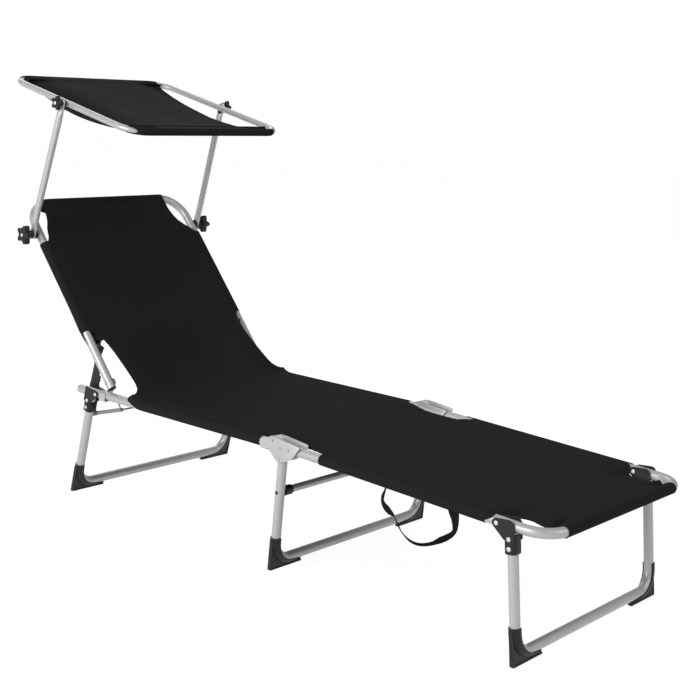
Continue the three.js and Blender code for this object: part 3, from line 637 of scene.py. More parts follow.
def make_shoe(name, axes, offset, side, body, node):
    lean = math.atan2(axes[2][1], axes[2][2])

    def spot(across, height, y):
        """From the distance to the shoe's outer face, the height above the floor, and y."""
        z = height - CROSSBAR_HEIGHT
        if height == 0:
            z = -(CROSSBAR_HEIGHT + y * math.sin(lean)) / math.cos(lean)
        return side * (RAIL_X + SHOE_SIDE - across), y, z

    def slab(loop, half):
        points = [spot(across, height, y) for y in (-half, half) for across, height in loop]
        return points, slab_faces(len(loop))

    points = []
    stations = collar_stations()
    ring = STATIONS + 1
    for centre, away, cut in stations:
        widest = math.acos(cut / SHOE_HALF)
        for k in range(ring):
            swing = widest * (2 * k / STATIONS - 1)
            place = centre + away * SHOE_HALF * math.cos(swing)
            points.append(spot(place.x, place.y, SHOE_HALF * math.sin(swing)))
    collar = points, skin(len(stations), ring)
    inset = SHOE_RIM / 3
    web = [(inset, SHOE_RIM / 2), (inset, SHOE_TOP - WEB_CORNER), (WEB_CORNER, SHOE_TOP - WEB_TOP_GAP)]
    for i in range(STATIONS + 1):
        swing = math.radians(WEB_FROM + WEB_TURN * i / STATIONS)
        web.append((SHOE_SIDE + LEG_BEND - WEB_ARC * math.cos(swing),
                    CROSSBAR_HEIGHT + LEG_BEND - WEB_ARC * math.sin(swing)))
    web += [(SHOE_TOE - inset, CROSSBAR_HEIGHT - SHOE_HALF + WEB_LIFT), (SHOE_TOE - inset, SHOE_RIM / 2)]
    rim = [(0, 0), (SHOE_TOE, 0), (SHOE_TOE, SHOE_RIM), (SHOE_RIM, SHOE_RIM),
           (SHOE_RIM, SHOE_TOP - RIM_INNER), (0, SHOE_TOP - RIM_OUTER)]
    points, faces = join_parts([collar, slab(web, WEB_HALF), slab(rim, RIM_HALF)])
    at = axes @ Matrix.Translation((0, offset, -leg_depth(axes, offset)))
    shoe = make_piece(name, in_section(at, points), faces, plastic, body, "black_plastic", [node])
    soften(sharpen(shoe, 50), 0.0007, 2, 50)


LEGS = (("foot", FOOT_LEG, -LEG_OFFSET), ("middle", MIDDLE_LEG, 0), ("head", HEAD_LEG, LEG_OFFSET))
for leg_name, axes, offset in LEGS:
    for side_name, side in SIDES:
        make_shoe(f"{leg_name}_shoe_{side_name}", axes, offset, side, f"{leg_name}_leg",
                  f"{leg_name}_leg_shoe_{side_name}")
print("shoes", 2 * len(LEGS))


# %% [markdown]
# A bracket straddles the rail with two cheeks and grips the top of the leg with a sleeve.
# Seen from the side a cheek is the outline of a belt round a few discs: a round eye at the pivot
# and a slanted neck. The sleeve below is nearly round, with flats where the rivets sit.

# %% Outlines from discs
def belt(discs, steps=24):
    """The outline of a belt pulled round discs, as (across, up)."""
    turns = [2 * math.pi * k / steps for k in range(steps)]
    points = sorted((u + r * math.cos(turn), v + r * math.sin(turn))
                    for u, v, r in discs for turn in turns)

    def chain(points):
        kept = []
        for p in points:
            while len(kept) > 1 and ((kept[-1][0] - kept[-2][0]) * (p[1] - kept[-2][1])
                                     - (kept[-1][1] - kept[-2][1]) * (p[0] - kept[-2][0])) <= 1e-12:
                kept.pop()
            kept.append(p)
        return kept[:-1]

    return chain(points) + chain(points[::-1])


def plate(outline, x0, x1):
    """A flat plate across the lounger from x0 to x1, with its outline given along and up."""
    return [(x, *p) for x in (x0, x1) for p in outline], slab_faces(len(outline))


def placed(axes, part):
    return in_section(axes, part[0]), part[1]


# %% Leg brackets
SLEEVE_HALF = 0.0135
SLEEVE_TOP = 0.016
SLEEVE_BOTTOM = 0.060
BRACKET_FACE = 0.0134
BRACKET_BACK = 0.0148
BRACKET_CORNER = 0.004
CHEEK_BOTTOM = 0.030
CHEEK_EYE = 0.0105
SMALL_EYE = 0.0095
ROUNDNESS = 3.4
SLEEVE_SLANT = 0.014
HEAD_SHOULDER = 0.0035
FOOT_EAR, FOOT_EAR_DROP = 0.012, 0.002
CHEEK_INSET = 0.0001
# Rings of the sleeve: distance from its end and share of its full size
UPPER_RINGS = ((0, 0.9), (0.001, 1))
LOWER_RINGS = ((0.0025, 1), (0.0008, 0.985), (0, 0.93))


def cheek_outline(offset):
    way = 1 if offset > 0 else -1
    far, near = abs(offset) + SLEEVE_HALF, abs(offset) - SLEEVE_HALF
    top, r = -SLEEVE_TOP, BRACKET_CORNER
    discs = [(near + r, 2 * top + r, r), (far - r, -CHEEK_BOTTOM, r)]
    if way > 0:
        discs += [(0, 0, SMALL_EYE), (far - r, HEAD_SHOULDER, r)]
    else:
        discs += [(0, 0, CHEEK_EYE), (far - FOOT_EAR, -FOOT_EAR_DROP, FOOT_EAR)]
    return [(way * y, z) for y, z in belt(discs)]


def round_sleeve(x, offset, sides=40):
    """The sleeve as rings down the leg: a nearly round section, with a top that slants to the pivot."""
    way = 1 if offset > 0 else -1
    start, end = -SLEEVE_TOP - BRACKET_CORNER, -SLEEVE_BOTTOM
    rings = [(start - d, share) for d, share in UPPER_RINGS]
    rings += [(end + d, share) for d, share in LOWER_RINGS]
    points = []
    for z, share in rings:
        for k in range(sides):
            c, s = math.cos(2 * math.pi * k / sides), math.sin(2 * math.pi * k / sides)
            reach = (abs(c) ** ROUNDNESS + abs(s) ** ROUNDNESS) ** (-1 / ROUNDNESS) * share
            slant = SLEEVE_SLANT * (1 - way * s * reach) / 2 if z > end / 2 else 0
            points.append((x + BRACKET_BACK * c * reach, offset + SLEEVE_HALF * s * reach, z - slant))
    return points, skin(len(rings), sides)


def make_bracket(name, axes, offset, side, body, node):
    outline = cheek_outline(offset)
    x = side * RAIL_X
    parts = [plate(outline, x + way * BRACKET_FACE, x + way * (BRACKET_BACK - CHEEK_INSET))
             for way in (-1, 1)]
    parts.append(round_sleeve(x, offset))
    points, faces = join_parts([placed(axes, part) for part in parts])
    soften(make_piece(name, points, faces, plastic, body, "black_plastic", [node]), 0.0012, 3, 40)


for leg_name, axes, offset in (LEGS[0], LEGS[2]):
    for side_name, side in SIDES:
        make_bracket(f"{leg_name}_bracket_{side_name}", axes, offset, side, f"{leg_name}_leg",
                     f"{leg_name}_leg_bracket_{side_name}")

# %% [markdown]
# ## Rivets
#
# Rivets hold the hinges. Each head is a low dome, turned from a short profile, and the heads of
# one body are kept together as one piece, because they never move against each other.

# %% Turned pieces and rivet heads
RIVET_HEAD = 0.005
HEAD_HEIGHT = 0.0018
HEAD_SINK = 0.002
# The dome as shares of the head's radius and height
DOME = ((1, 0), (1, 0.25), (0.9, 0.6), (0.62, 0.88), (0.25, 1))
PIVOT_STAND = BRACKET_BACK + 0.0003
LEG_RIVET_DROPS = (0.029, 0.0485)


def turned(profile, centre, direction, steps=20):
    """A piece turned about an axis across the lounger, from pairs of radius and distance."""
    points = []
    for radius, distance in profile:
        for k in range(steps):
            turn = 2 * math.pi * k / steps
            points.append(Vector(centre) + Vector((direction * distance, radius * math.cos(turn),
                                                   radius * math.sin(turn))))
    return points, skin(len(profile), steps)


def dome(place, direction):
    profile = [(RIVET_HEAD * 0.6, -HEAD_SINK)]
    profile += [(RIVET_HEAD * wide, HEAD_HEIGHT * high) for wide, high in DOME]
    return turned(profile, place, direction)


def make_rivets(name, body, spots):
    """spots holds (axes, distance of the head's seat from the rail's centre, y, z)."""
    parts = []
    for axes, stand, y, z in spots:
        for _, side in SIDES:
            for way in (-1, 1):
                place = axes @ Vector((side * RAIL_X + way * stand, y, z))
                parts.append(dome(place, way))
    points, faces = join_parts(parts)
    print(name, len(parts), "heads")
    sharpen(make_piece(name, points, faces, rivet_steel, body, "hinge_steel"), 50)


for leg_name, axes, offset in (LEGS[0], LEGS[2]):
    make_rivets(f"{leg_name}_leg_rivets", f"{leg_name}_leg",
                [(axes, BRACKET_BACK, offset, -drop) for drop in LEG_RIVET_DROPS])
make_rivets("foot_pivot_rivets", "foot_section", [(FOOT_LEG, PIVOT_STAND, 0, 0)])
make_rivets("head_pivot_rivets", "seat_frame", [(HEAD_LEG, PIVOT_STAND, 0, 0)])


# %% [markdown]
# ## Star knobs
#
# Four knobs clamp the arms. A star grip has five round lobes, so that fingers find a hold, and a
# light dot in its middle is the end of the screw. Its outline is a circle whose radius waves.

# %% Knobs
KNOB_GAP = 0.0003
LOBES = 5
LOBE_WAVE = 0.19
STEM_OVERLAP = 0.001
# Radius of the grip, radius of the stem, whole length and thickness of the grip
LOWER_KNOB = (0.0255, 0.011, 0.030, 0.017)
UPPER_KNOB = (0.0185, 0.009, 0.018, 0.011)
BOSS = ((0.0075, -0.001), (0.0075, 0.0004), (0.0068, 0.0008), (0.005, 0.0008))
SCREW = ((0.0045, -0.001), (0.0045, 0.0012), (0.0038, 0.0018), (0.001, 0.002))


def waving_circle(y, radius, wave, steps):
    """A circle about y whose radius waves five times on its way round."""
    outline = []
    for k in range(steps):
        turn = 2 * math.pi * k / steps
        reach = radius * (1 - wave + wave * math.cos(LOBES * turn))
        outline.append((y + reach * math.cos(turn), reach * math.sin(turn)))
    return outline


def make_knob(name, body, y, arm_x, size, side, node):
    radius, hub, length, grip = size
    start = arm_x + ARM_FLAT + KNOB_GAP
    grip_start = start + length - grip
    star = plate(waving_circle(y, radius, LOBE_WAVE, 90), side * grip_start, side * (start + length))
    stem = plate(waving_circle(y, hub, 0, 32), side * start, side * (grip_start + STEM_OVERLAP))
    points, faces = join_parts([placed(ARMS, star), placed(ARMS, stem)])
    soften(make_piece(name, points, faces, plastic, body, "black_plastic", [node]), 0.0022, 4, 50)
    centre = ARMS @ Vector((side * (start + length), y, 0))
    boss, screw = turned(BOSS, centre, side), turned(SCREW, centre, side)
    sharpen(make_piece(name + "_boss", *boss, plastic, body, "black_plastic"))
    sharpen(make_piece(name + "_screw", *screw, rivet_steel, body, "hinge_steel"))


for side_name, side in SIDES:
    make_knob(f"knob_low_{side_name}", f"knob_lower_{side_name}", 0, ARM_X, LOWER_KNOB, side,
              f"lower_knob_{side_name}")
    make_knob(f"knob_high_{side_name}", f"knob_upper_{side_name}", arm_length, ARM_TOP_X, UPPER_KNOB,
              side, f"upper_knob_{side_name}")

# %% [markdown]
# ## The small measured parts
#
# Hinge plates, racks, caps, hooks and spacers keep the exact shapes of the frame. They only need
# welded points, flat faces without spare edges, and rounded edges, which three modifiers give
# without touching the measured points.

# %% Finish the measured parts that stay
def dress(node, finish, width):
    part = frame["nodes"][node]
    part.data.materials.clear()
    part.data.materials.append(finish)
    part.data.normals_split_custom_set([(0, 0, 0)] * len(part.data.loops))
    for face in part.data.polygons:
        face.use_smooth = True
    weld = part.modifiers.new("weld", "WELD")
    weld.merge_threshold = 0.00002
    flat = part.modifiers.new("flat_faces", "DECIMATE")
    flat.decimate_type = "DISSOLVE"
    flat.angle_limit = math.radians(1)
    soften(part, width, 2, 32)


KEPT = {
    "seat_hinge_strap": (hinge_steel, 0.0005), "foot_hinge_plate": (hinge_steel, 0.0005),
    "backrest_pivot_bracket": (hinge_steel, 0.0005), "stay_hook": (wire_steel, 0.0003),
    "rail_end_cap": (plastic, 0.0006), "back_tube_plug": (plastic, 0.0006),
    "brace_end_cap": (plastic, 0.0006), "backrest_rack": (plastic, 0.0005),
    "arm_spacer": (plastic, 0.0008), "canopy_clip": (plastic, 0.0006),
}
for node, (finish, width) in KEPT.items():
    for side_name, _ in SIDES:
        dress(f"{node}_{side_name}", finish, width)
print("measured parts kept", 2 * len(KEPT))


# %% [markdown]
# ## The cloth
#
# The bed is one long cloth. It was cut flat, with notches for the hinges, and each straight edge
# was turned round a tube and sewn down as a sleeve. The same steps work here: an outline gives
# the flat cut's half width at each place along it, and every point of the cut then gets its place
# in space. Near a rail it turns round the tube and comes back underneath to the seam.
#
# A cloth can bend across only one hinge, so the bed is made as two cloths that meet in the middle
# of the seat, edge to edge. Stitching and puckers along the seams are made as real shapes.

# %% Round a tube and back to the seam
CLOTH_THICK = 0.001
CLOTH_LIFT = 0.0011
SEAM_INSET = 0.030
SEAM_STEP = 0.0014


class Sleeve:
    """The way a cloth takes round a tube, from the tube's top back to the seam below the sheet."""

    def __init__(self, tube_radius):
        self.ring = tube_radius + CLOTH_LIFT
        seam = Vector((-SEAM_INSET, self.ring - SEAM_STEP))
        touch = math.atan2(seam.y, seam.x) + math.acos(self.ring / seam.length)
        self.last = touch - 2 * math.pi
        self.arc = self.ring * (math.pi / 2 - self.last)
        self.straight = math.sqrt(seam.length ** 2 - self.ring ** 2)
        self.length = self.arc + self.straight
        self.seam = seam

    def at(self, s):
        """(outward, up) from the top of the tube, s metres on from there."""
        if s <= self.arc:
            turn = math.pi / 2 - s / self.ring
            return self.ring * math.cos(turn), self.ring * math.sin(turn) - self.ring
        share = min((s - self.arc) / self.straight, 1)
        end = Vector((math.cos(self.last), math.sin(self.last))) * self.ring
        place = end.lerp(self.seam, share)
        return place.x, place.y - self.ring


bed_sleeve = Sleeve(TUBE)
canopy_sleeve = Sleeve(CANOPY_TUBE)
print("sleeve takes", round(bed_sleeve.length * 1000), "mm of cloth")


# %% Smooth outline of a cut
SLEEVE_ROWS = 0.003


def outline_rows(corners, sleeves, step=0.006, longest=0.014):
    """Rows (v, half width) along a cut from its corners, closer where a sleeve goes round a tube."""
    places = [Vector(c) for c in corners]
    rows = [places[0]]
    for i in range(len(places) - 1):
        p0, p1, p2 = places[max(i - 1, 0)], places[i], places[i + 1]
        p3 = places[min(i + 2, len(places) - 1)]
        span = (p2 - p1).length
        level = abs(p2.y - p1.y) < 1e-6
        turning = level and not sleeves[0] <= (p1.x + p2.x) / 2 <= sleeves[1]
        count = max(1, math.ceil(span / (SLEEVE_ROWS if turning else longest if level else step)))
        m1 = (p2 - p0) / max((p2 - p1).length + (p1 - p0).length, 1e-9) * span
        m2 = (p3 - p1) / max((p3 - p2).length + (p2 - p1).length, 1e-9) * span
        for k in range(1, count + 1):
            t = k / count
            if level:
                q = p1.lerp(p2, t)
            else:
                q = (p1 * (2 * t ** 3 - 3 * t ** 2 + 1) + m1 * (t ** 3 - 2 * t ** 2 + t)
                     + p2 * (3 * t ** 2 - 2 * t ** 3) + m2 * (t ** 3 - t ** 2))
            q.x = min(max(q.x, rows[-1].x), p2.x)
            rows.append(q)
    return [(q.x, q.y) for q in rows]


def flat_area(rows):
    return sum((v1 - v0) * (w1 + w0) for (v0, w0), (v1, w1) in zip(rows, rows[1:]))


# %% Shape of the fold between seat and backrest
FOLD_SOFT = 0.183
FOLD_EDGE = 0.050
EDGE_LEAVES_SEAT = 0.488
EDGE_MEETS_BACK = 0.150
PROFILE_START = 0.420
PROFILE_END = 0.240
FOLD_STEPS = 24
FOLD_SAMPLES = 121
HELD_FROM, HELD_RAMP = 0.06, 0.16
bed_top = bed_sleeve.ring
seat_line = SEAT @ Vector((0, 0, bed_top)), (SEAT.to_3x3() @ Vector((0, 1, 0)))
back_line = BACK @ Vector((0, 0, bed_top)), (BACK.to_3x3() @ Vector((0, 1, 0)))


def crossing(line, other):
    """How far along each of two lines, seen from the side, they cross."""
    across = line[1].y * other[1].z - line[1].z * other[1].y
    gap = other[0] - line[0]
    return ((gap.y * other[1].z - gap.z * other[1].y) / across,
            (gap.y * line[1].z - gap.z * line[1].y) / across)


FOLD, BACK_FOLD = crossing(seat_line, back_line)
TOP = FOLD + BACK_REACH - BACK_FOLD
PROFILE_STOP = FOLD - BACK_FOLD + PROFILE_END
print("fold at", round(FOLD, 4), "m from the middle hinge; top of the cloth at", round(TOP, 4))


def even_line(corners, radius):
    """Even samples of a rounded line: its places and the directions off its upper side."""
    line = rounded(corners, radius, FOLD_STEPS)
    lengths = np.cumsum([0] + [(b - a).length for a, b in zip(line, line[1:])])
    spots = np.linspace(0, lengths[-1], FOLD_SAMPLES)
    y, z = (np.interp(spots, lengths, [p[i] for p in line]) for i in (1, 2))
    steps = np.gradient(y), np.gradient(z)
    size = np.hypot(*steps)
    return np.array([y, z, -steps[1] / size, steps[0] / size])


def on_line(line, step):
    return line[0] + line[1] * step


seat_end, back_end = on_line(seat_line, PROFILE_START), on_line(back_line, PROFILE_END)
fold_middle = even_line([seat_end, on_line(seat_line, FOLD), back_end], FOLD_SOFT)
fold_edge = even_line([seat_end, on_line(seat_line, EDGE_LEAVES_SEAT),
                       on_line(back_line, EDGE_MEETS_BACK), back_end], FOLD_EDGE)


def fold_place(u, v, z):
    """A point of the fold: soft in the middle, pulled straight between the sleeves at the edges."""
    spot = (v - PROFILE_START) / (PROFILE_STOP - PROFILE_START) * (fold_middle.shape[1] - 1)
    held = smooth((abs(u) - HELD_FROM) / HELD_RAMP)
    y, up, off_y, off_z = [float(np.interp(spot, range(len(a)), (1 - held) * a + held * b))
                           for a, b in zip(fold_middle, fold_edge)]
    return Vector((u, y + off_y * z, up + off_z * z))


# %% Where the bed's sleeves begin and end
FULL = RAIL_X + bed_sleeve.length
FOOT_CROSS = 0.214
TOP_CROSS = 0.213
SLEEVE_FOOT_END = 0.600
SLEEVE_HINGE = 0.140
SLEEVE_SEAT = 0.045
SLEEVE_SEAT_END = 0.508
BACK_MOUTH = FOLD - BACK_FOLD + 0.147
BACK_SHOULDER = FOLD - BACK_FOLD + 0.425
BACK_FLAP = 0.040
SEAT_SPLIT = 0.290

# %% Place of every point of the bed's cut
BED_SAG = 0.006
CORNER_SAG = 0.012
NOTCH_SAG = 0.007
FLARE = 0.003
FLARE_LENGTH = 0.075
TOP_SHIFT = 0.0135
MOUTH_CUT = 0.020
MOUTH_LENGTH = 0.055
FLAP_TURN, FLAP_LENGTH = 0.016, 0.06
FLARE_TURN, FLARE_RAMP = 0.010, 0.02
TOP_RAMP = 0.05
PUCKER, PUCKERS_ALONG, PUCKERS_ACROSS = 0.0004, 420, 30
CORNER_FROM, CORNER_RAMP = 0.13, 0.09
NOTCH_FROM, NOTCH_RAMP = 0.17, 0.07
# Windows along or across the cut: start, end and ramp
CORNER_WINDOW = (-FOOT_REACH + 0.030, -SLEEVE_FOOT_END - 0.020, 0.030)
NOTCH_WINDOW = (-SLEEVE_HINGE + 0.014, -0.025, 0.050)
BED_WINDOW = (-FOOT_REACH + 0.16, FOLD - 0.24, 0.16)
BACK_WINDOW = (FOLD + 0.3, TOP - 0.14, 0.14)
SEAM_WINDOW = (RAIL_X - 0.034, RAIL_X - 0.026, 0.014)


def bump(v, start, end, ramp):
    """1 between start and end, fading to 0 over ramp on both sides."""
    return smooth((v - start) / ramp + 1) * smooth((end - v) / ramp + 1)


def edge_sag(u, v):
    """How far the free edges hang below the sheet, beside the notches."""
    corner = CORNER_SAG * smooth((u - CORNER_FROM) / CORNER_RAMP) * bump(v, *CORNER_WINDOW)
    notch = NOTCH_SAG * smooth((u - NOTCH_FROM) / NOTCH_RAMP) * bump(v, *NOTCH_WINDOW)
    return corner + notch if u < RAIL_X else 0


def bed_place(u, v):
    """Where the point of the cut lies that is u across from the middle and v on from the hinge."""
    side, u = (-1 if u < 0 else 1), abs(u)
    flap, flare, past = 0, 0, u - RAIL_X
    if v > BACK_MOUTH - 0.0005 and u > RAIL_X:
        flap = (BACK_FLAP * smooth((past - FLAP_TURN) / FLAP_TURN)
                * smooth(1 - (v - BACK_MOUTH) / FLAP_LENGTH))
        flare = (FLARE * smooth((past - FLARE_TURN) / FLARE_RAMP)
                 * smooth(1 - (v - BACK_MOUTH) / FLARE_LENGTH))
    if v < -SLEEVE_FOOT_END + MOUTH_LENGTH and u > RAIL_X:
        flap = (-MOUTH_CUT * smooth((past - FLARE_TURN) / FLAP_TURN)
                * smooth(1 - (v + SLEEVE_FOOT_END) / MOUTH_LENGTH))
    out, up = bed_sleeve.at(u - RAIL_X) if u > RAIL_X else (0, 0)
    x = side * (min(u, RAIL_X) + out + flare) - TOP_SHIFT * smooth((v - BACK_SHOULDER) / TOP_RAMP)
    z = bed_top + up - edge_sag(u, v)
    window = bump(v, *BED_WINDOW) + bump(v, *BACK_WINDOW)
    z -= BED_SAG * max(0, 1 - (u / RAIL_X) ** 2) * window
    z += PUCKER * math.sin(v * PUCKERS_ALONG + u * PUCKERS_ACROSS) * bump(u, *SEAM_WINDOW)
    v -= flap
    if v < -FOOT_REACH:
        out, up = bed_sleeve.at(-FOOT_REACH - v)
        return FOOT @ Vector((x, -FOOT_REACH - out, z + up))
    if v < 0:
        return FOOT @ Vector((x, v, z))
    if PROFILE_START < v < PROFILE_STOP:
        return fold_place(x, v, z - bed_top)
    if v <= PROFILE_START:
        return SEAT @ Vector((x, v, z))
    dip = 0.0
    straight = RAIL_X - BACK_BEND
    if abs(x) > straight:
        dip = BACK_BEND - math.sqrt(max(BACK_BEND ** 2 - (min(abs(x), RAIL_X) - straight) ** 2, 0))
        dip *= smooth((v - TOP + TOP_RAMP) / TOP_RAMP)
    out, up = bed_sleeve.at(v - TOP) if v > TOP else (0, 0)
    return BACK @ Vector((x, BACK_FOLD + min(v, TOP) - FOLD + out - dip, z + up))


# %% Sew a cloth from its rows
SLEEVE_STEP, SLEEVE_COLUMNS = 0.0032, 30
MIDDLE_HALF, MIDDLE_COLUMNS = 0.19, 14
EDGE_STEP, EDGE_COLUMNS = 0.005, 14
SLEEVE_START = 0.26
COLUMNS = ([MIDDLE_HALF * i / MIDDLE_COLUMNS for i in range(MIDDLE_COLUMNS)]
           + [MIDDLE_HALF + EDGE_STEP * i for i in range(EDGE_COLUMNS)]
           + [SLEEVE_START + SLEEVE_STEP * i for i in range(SLEEVE_COLUMNS)])
NEXT_TO_EDGE = 0.0015
MOUTH_STEP = 0.03


def thicken(sheet, flat, thickness):
    """Keeps the flat cut as a UV map in metres and gives the sheet its thickness."""
    layer = sheet.data.uv_layers.new(name="cut")
    for loop in sheet.data.loops:
        layer.data[loop.index].uv = flat[loop.vertex_index]
    thick = sheet.modifiers.new("thickness", "SOLIDIFY")
    thick.thickness = thickness
    thick.offset = 0


def sew(name, rows, place):
    """A cloth from the rows of its cut. Where a row is much wider than the next, a sleeve ends."""
    points, flat, grid = [], [], []
    for v, half in rows:
        line = [u for u in COLUMNS if u < half - NEXT_TO_EDGE] + [half]
        sides = []
        for side in (1, -1):
            sides.append([])
            for u in line:
                if side < 0 and u == 0:
                    sides[1].append(sides[0][0])
                    continue
                sides[-1].append(len(points))
                points.append(place(side * u, v))
                flat.append((side * u, v))
        grid.append((half, sides))
    faces = []
    for (half_a, a_sides), (half_b, b_sides) in zip(grid, grid[1:]):
        for which, (a, b) in enumerate(zip(a_sides, b_sides)):
            last = min(len(a), len(b)) - 1
            found = [(a[k], a[k + 1], b[k + 1], b[k]) for k in range(last)]
            if abs(half_a - half_b) < MOUTH_STEP:
                found += [(a[k], a[k + 1], b[last]) for k in range(last, len(a) - 1)]
                found += [(a[last], b[k + 1], b[k]) for k in range(last, len(b) - 1)]
            faces += [face[::-1] for face in found] if which else found
    cloth = make_piece(name, points, faces, cloth_finish, None, "black_cloth", closed=False)
    thicken(cloth, flat, CLOTH_THICK)
    cloth.modifiers.new("even_shading", "WEIGHTED_NORMAL").weight = 100
    print(name, len(points), "points,", round(flat_area(rows), 3), "square metres")
    return cloth


STITCH = 0.0030
STITCH_PITCH = 0.0042
THREAD = 0.00045
NEARBY = 0.002


def stitches(name, lines, place):
    """Short raised threads along lines of the cut, each line a list of (u, v)."""
    parts = []
    for line in lines:
        path = [place(u, v) for u, v in line]
        ups = [(place(u, v + NEARBY) - place(u, v - NEARBY)).cross(place(u - NEARBY, v)
                                                                   - place(u + NEARBY, v))
               for u, v in line]
        travelled = 0.0
        for i in range(len(path) - 1):
            a, b = path[i], path[i + 1]
            step = (b - a).length
            if step < 1e-6:
                continue
            while travelled < step:
                start = a.lerp(b, travelled / step)
                ahead = (b - a).normalized()
                up = ups[i].normalized() if ups[i].length else Vector((0, 0, 1))
                if up.z < 0 and abs(up.z) > 0.2:
                    up = -up
                out = ahead.cross(up).normalized()
                base = start + up * CLOTH_THICK / 2
                end = base + ahead * STITCH
                ring = [base + out * THREAD, base + up * THREAD, base - out * THREAD,
                        end + out * THREAD, end + up * THREAD, end - out * THREAD]
                faces = [(0, 1, 2), (3, 5, 4), (0, 3, 4, 1), (1, 4, 5, 2), (0, 2, 5, 3)]
                parts.append((ring, faces))
                travelled += STITCH_PITCH
            travelled -= step
    points, faces = join_parts(parts)
    print(name, len(parts), "stitches")
    return make_piece(name, points, faces, thread_finish, None, "black_cloth")


# %% [markdown]
# ### The cut of the bed
#
# The corners below are read along the cloth, in metres from the middle hinge. The half width is
# full where there is a sleeve, steps in where the sleeve ends, and curves round each notch.

# %% Outline of the bed
foot_outline = [
    (-FOOT_REACH - bed_sleeve.length, FOOT_CROSS), (-FOOT_REACH, FOOT_CROSS),
    (-FOOT_REACH + 0.020, 0.221), (-FOOT_REACH + 0.038, 0.223),
    (-FOOT_REACH + 0.058, 0.217), (-FOOT_REACH + 0.078, 0.212),
    (-FOOT_REACH + 0.098, 0.217), (-SLEEVE_FOOT_END - 0.012, 0.236), (-SLEEVE_FOOT_END - 0.001, 0.262),
    (-SLEEVE_FOOT_END, FULL), (-SLEEVE_HINGE, FULL), (-SLEEVE_HINGE + 0.001, 0.264),
    (-SLEEVE_HINGE + 0.006, 0.252), (-0.120, 0.244), (-0.090, 0.240), (-0.050, 0.240), (-0.020, 0.243),
    (0.020, 0.246), (SLEEVE_SEAT - 0.006, 0.254), (SLEEVE_SEAT - 0.001, 0.264),
    (SLEEVE_SEAT, FULL), (SEAT_SPLIT, FULL),
]
back_outline = [
    (SEAT_SPLIT, FULL), (SLEEVE_SEAT_END, FULL),
    (SLEEVE_SEAT_END + 0.001, 0.264), (SLEEVE_SEAT_END + 0.006, 0.253),
    (SLEEVE_SEAT_END + 0.020, 0.242), (SLEEVE_SEAT_END + 0.045, 0.237), (FOLD + 0.060, 0.2345),
    (BACK_MOUTH - 0.090, 0.2345), (BACK_MOUTH - 0.050, 0.238), (BACK_MOUTH - 0.024, 0.245),
    (BACK_MOUTH - 0.008, 0.256), (BACK_MOUTH - 0.001, 0.268), (BACK_MOUTH, FULL), (BACK_SHOULDER, FULL),
    (BACK_SHOULDER + 0.001, 0.266), (BACK_SHOULDER + 0.006, 0.256), (BACK_SHOULDER + 0.030, 0.238),
    (BACK_SHOULDER + 0.060, 0.221), (BACK_SHOULDER + 0.090, TOP_CROSS), (TOP, TOP_CROSS),
    (TOP + bed_sleeve.length, TOP_CROSS),
]
foot_rows = outline_rows(foot_outline, (-FOOT_REACH, SEAT_SPLIT))
back_rows = outline_rows(back_outline, (SEAT_SPLIT, TOP))
print("rows", len(foot_rows), len(back_rows))

# %% Sew and hang the bed
foot_cloth = sew("bed_cloth_foot", foot_rows, bed_place)
back_cloth = sew("bed_cloth_back", back_rows, bed_place)
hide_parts("foot_fabric", "seat_fabric")
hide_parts("back_fabric")


def seam(u, start, end):
    count = max(2, int(abs(end - start) / 0.01))
    return [(u, start + (end - start) * i / count) for i in range(count + 1)]


def cross_seam(v, half):
    return [(-half + 2 * half * i / 40, v) for i in range(41)]


def hem(rows, start, end, inset=0.007):
    return [(half - inset, v) for v, half in rows if start < v < end and half < RAIL_X + 0.002]


def both(lines):
    return lines + [[(-u, v) for u, v in line] for line in lines]


SEAM_U = RAIL_X - SEAM_INSET
SECOND_ROW = 0.005
SEAM_END = 0.002
HEM_START = 0.004
CROSS_END, FOOT_CROSS_END = 0.006, 0.012


def seams(start, end):
    """The two rows of a sleeve's seam."""
    return [seam(SEAM_U + k, start, end) for k in (0, SECOND_ROW)]


foot_lines = both(seams(-SLEEVE_FOOT_END + SEAM_END, -SLEEVE_HINGE - SEAM_END)
                  + seams(SLEEVE_SEAT + SEAM_END, SEAT_SPLIT)
                  + [hem(foot_rows, -FOOT_REACH + HEM_START, -SLEEVE_FOOT_END - SEAM_END),
                     hem(foot_rows, -SLEEVE_HINGE + SEAM_END, SLEEVE_SEAT - SEAM_END)])
foot_lines += [cross_seam(-FOOT_REACH + SEAM_INSET - k, FOOT_CROSS - FOOT_CROSS_END)
               for k in (0, SECOND_ROW)]
back_lines = both(seams(SEAT_SPLIT, SLEEVE_SEAT_END - SEAM_END)
                  + seams(BACK_MOUTH + SEAM_END, BACK_SHOULDER - SEAM_END)
                  + [hem(back_rows, SLEEVE_SEAT_END + SEAM_END, BACK_MOUTH - SEAM_END),
                     hem(back_rows, BACK_SHOULDER + SEAM_END, TOP - SEAM_END)])
back_lines += [cross_seam(TOP - SEAM_INSET + k, TOP_CROSS - CROSS_END) for k in (0, SECOND_ROW)]
foot_stitches = stitches("bed_stitches_foot", foot_lines, bed_place)
back_stitches = stitches("bed_stitches_back", back_lines, bed_place)

# %% Bake the bed's placement into its points
for piece in (foot_cloth, foot_stitches):
    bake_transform(piece)
for piece in (back_cloth, back_stitches):
    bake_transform(piece)


# %% [markdown]
# ### The canopy's cloth
#
# The canopy is held only by its two cross tubes. Its side edges hang free, so they pull in
# between the tubes, and the cloth sags in the middle: most at the free edges, least at the sleeves.

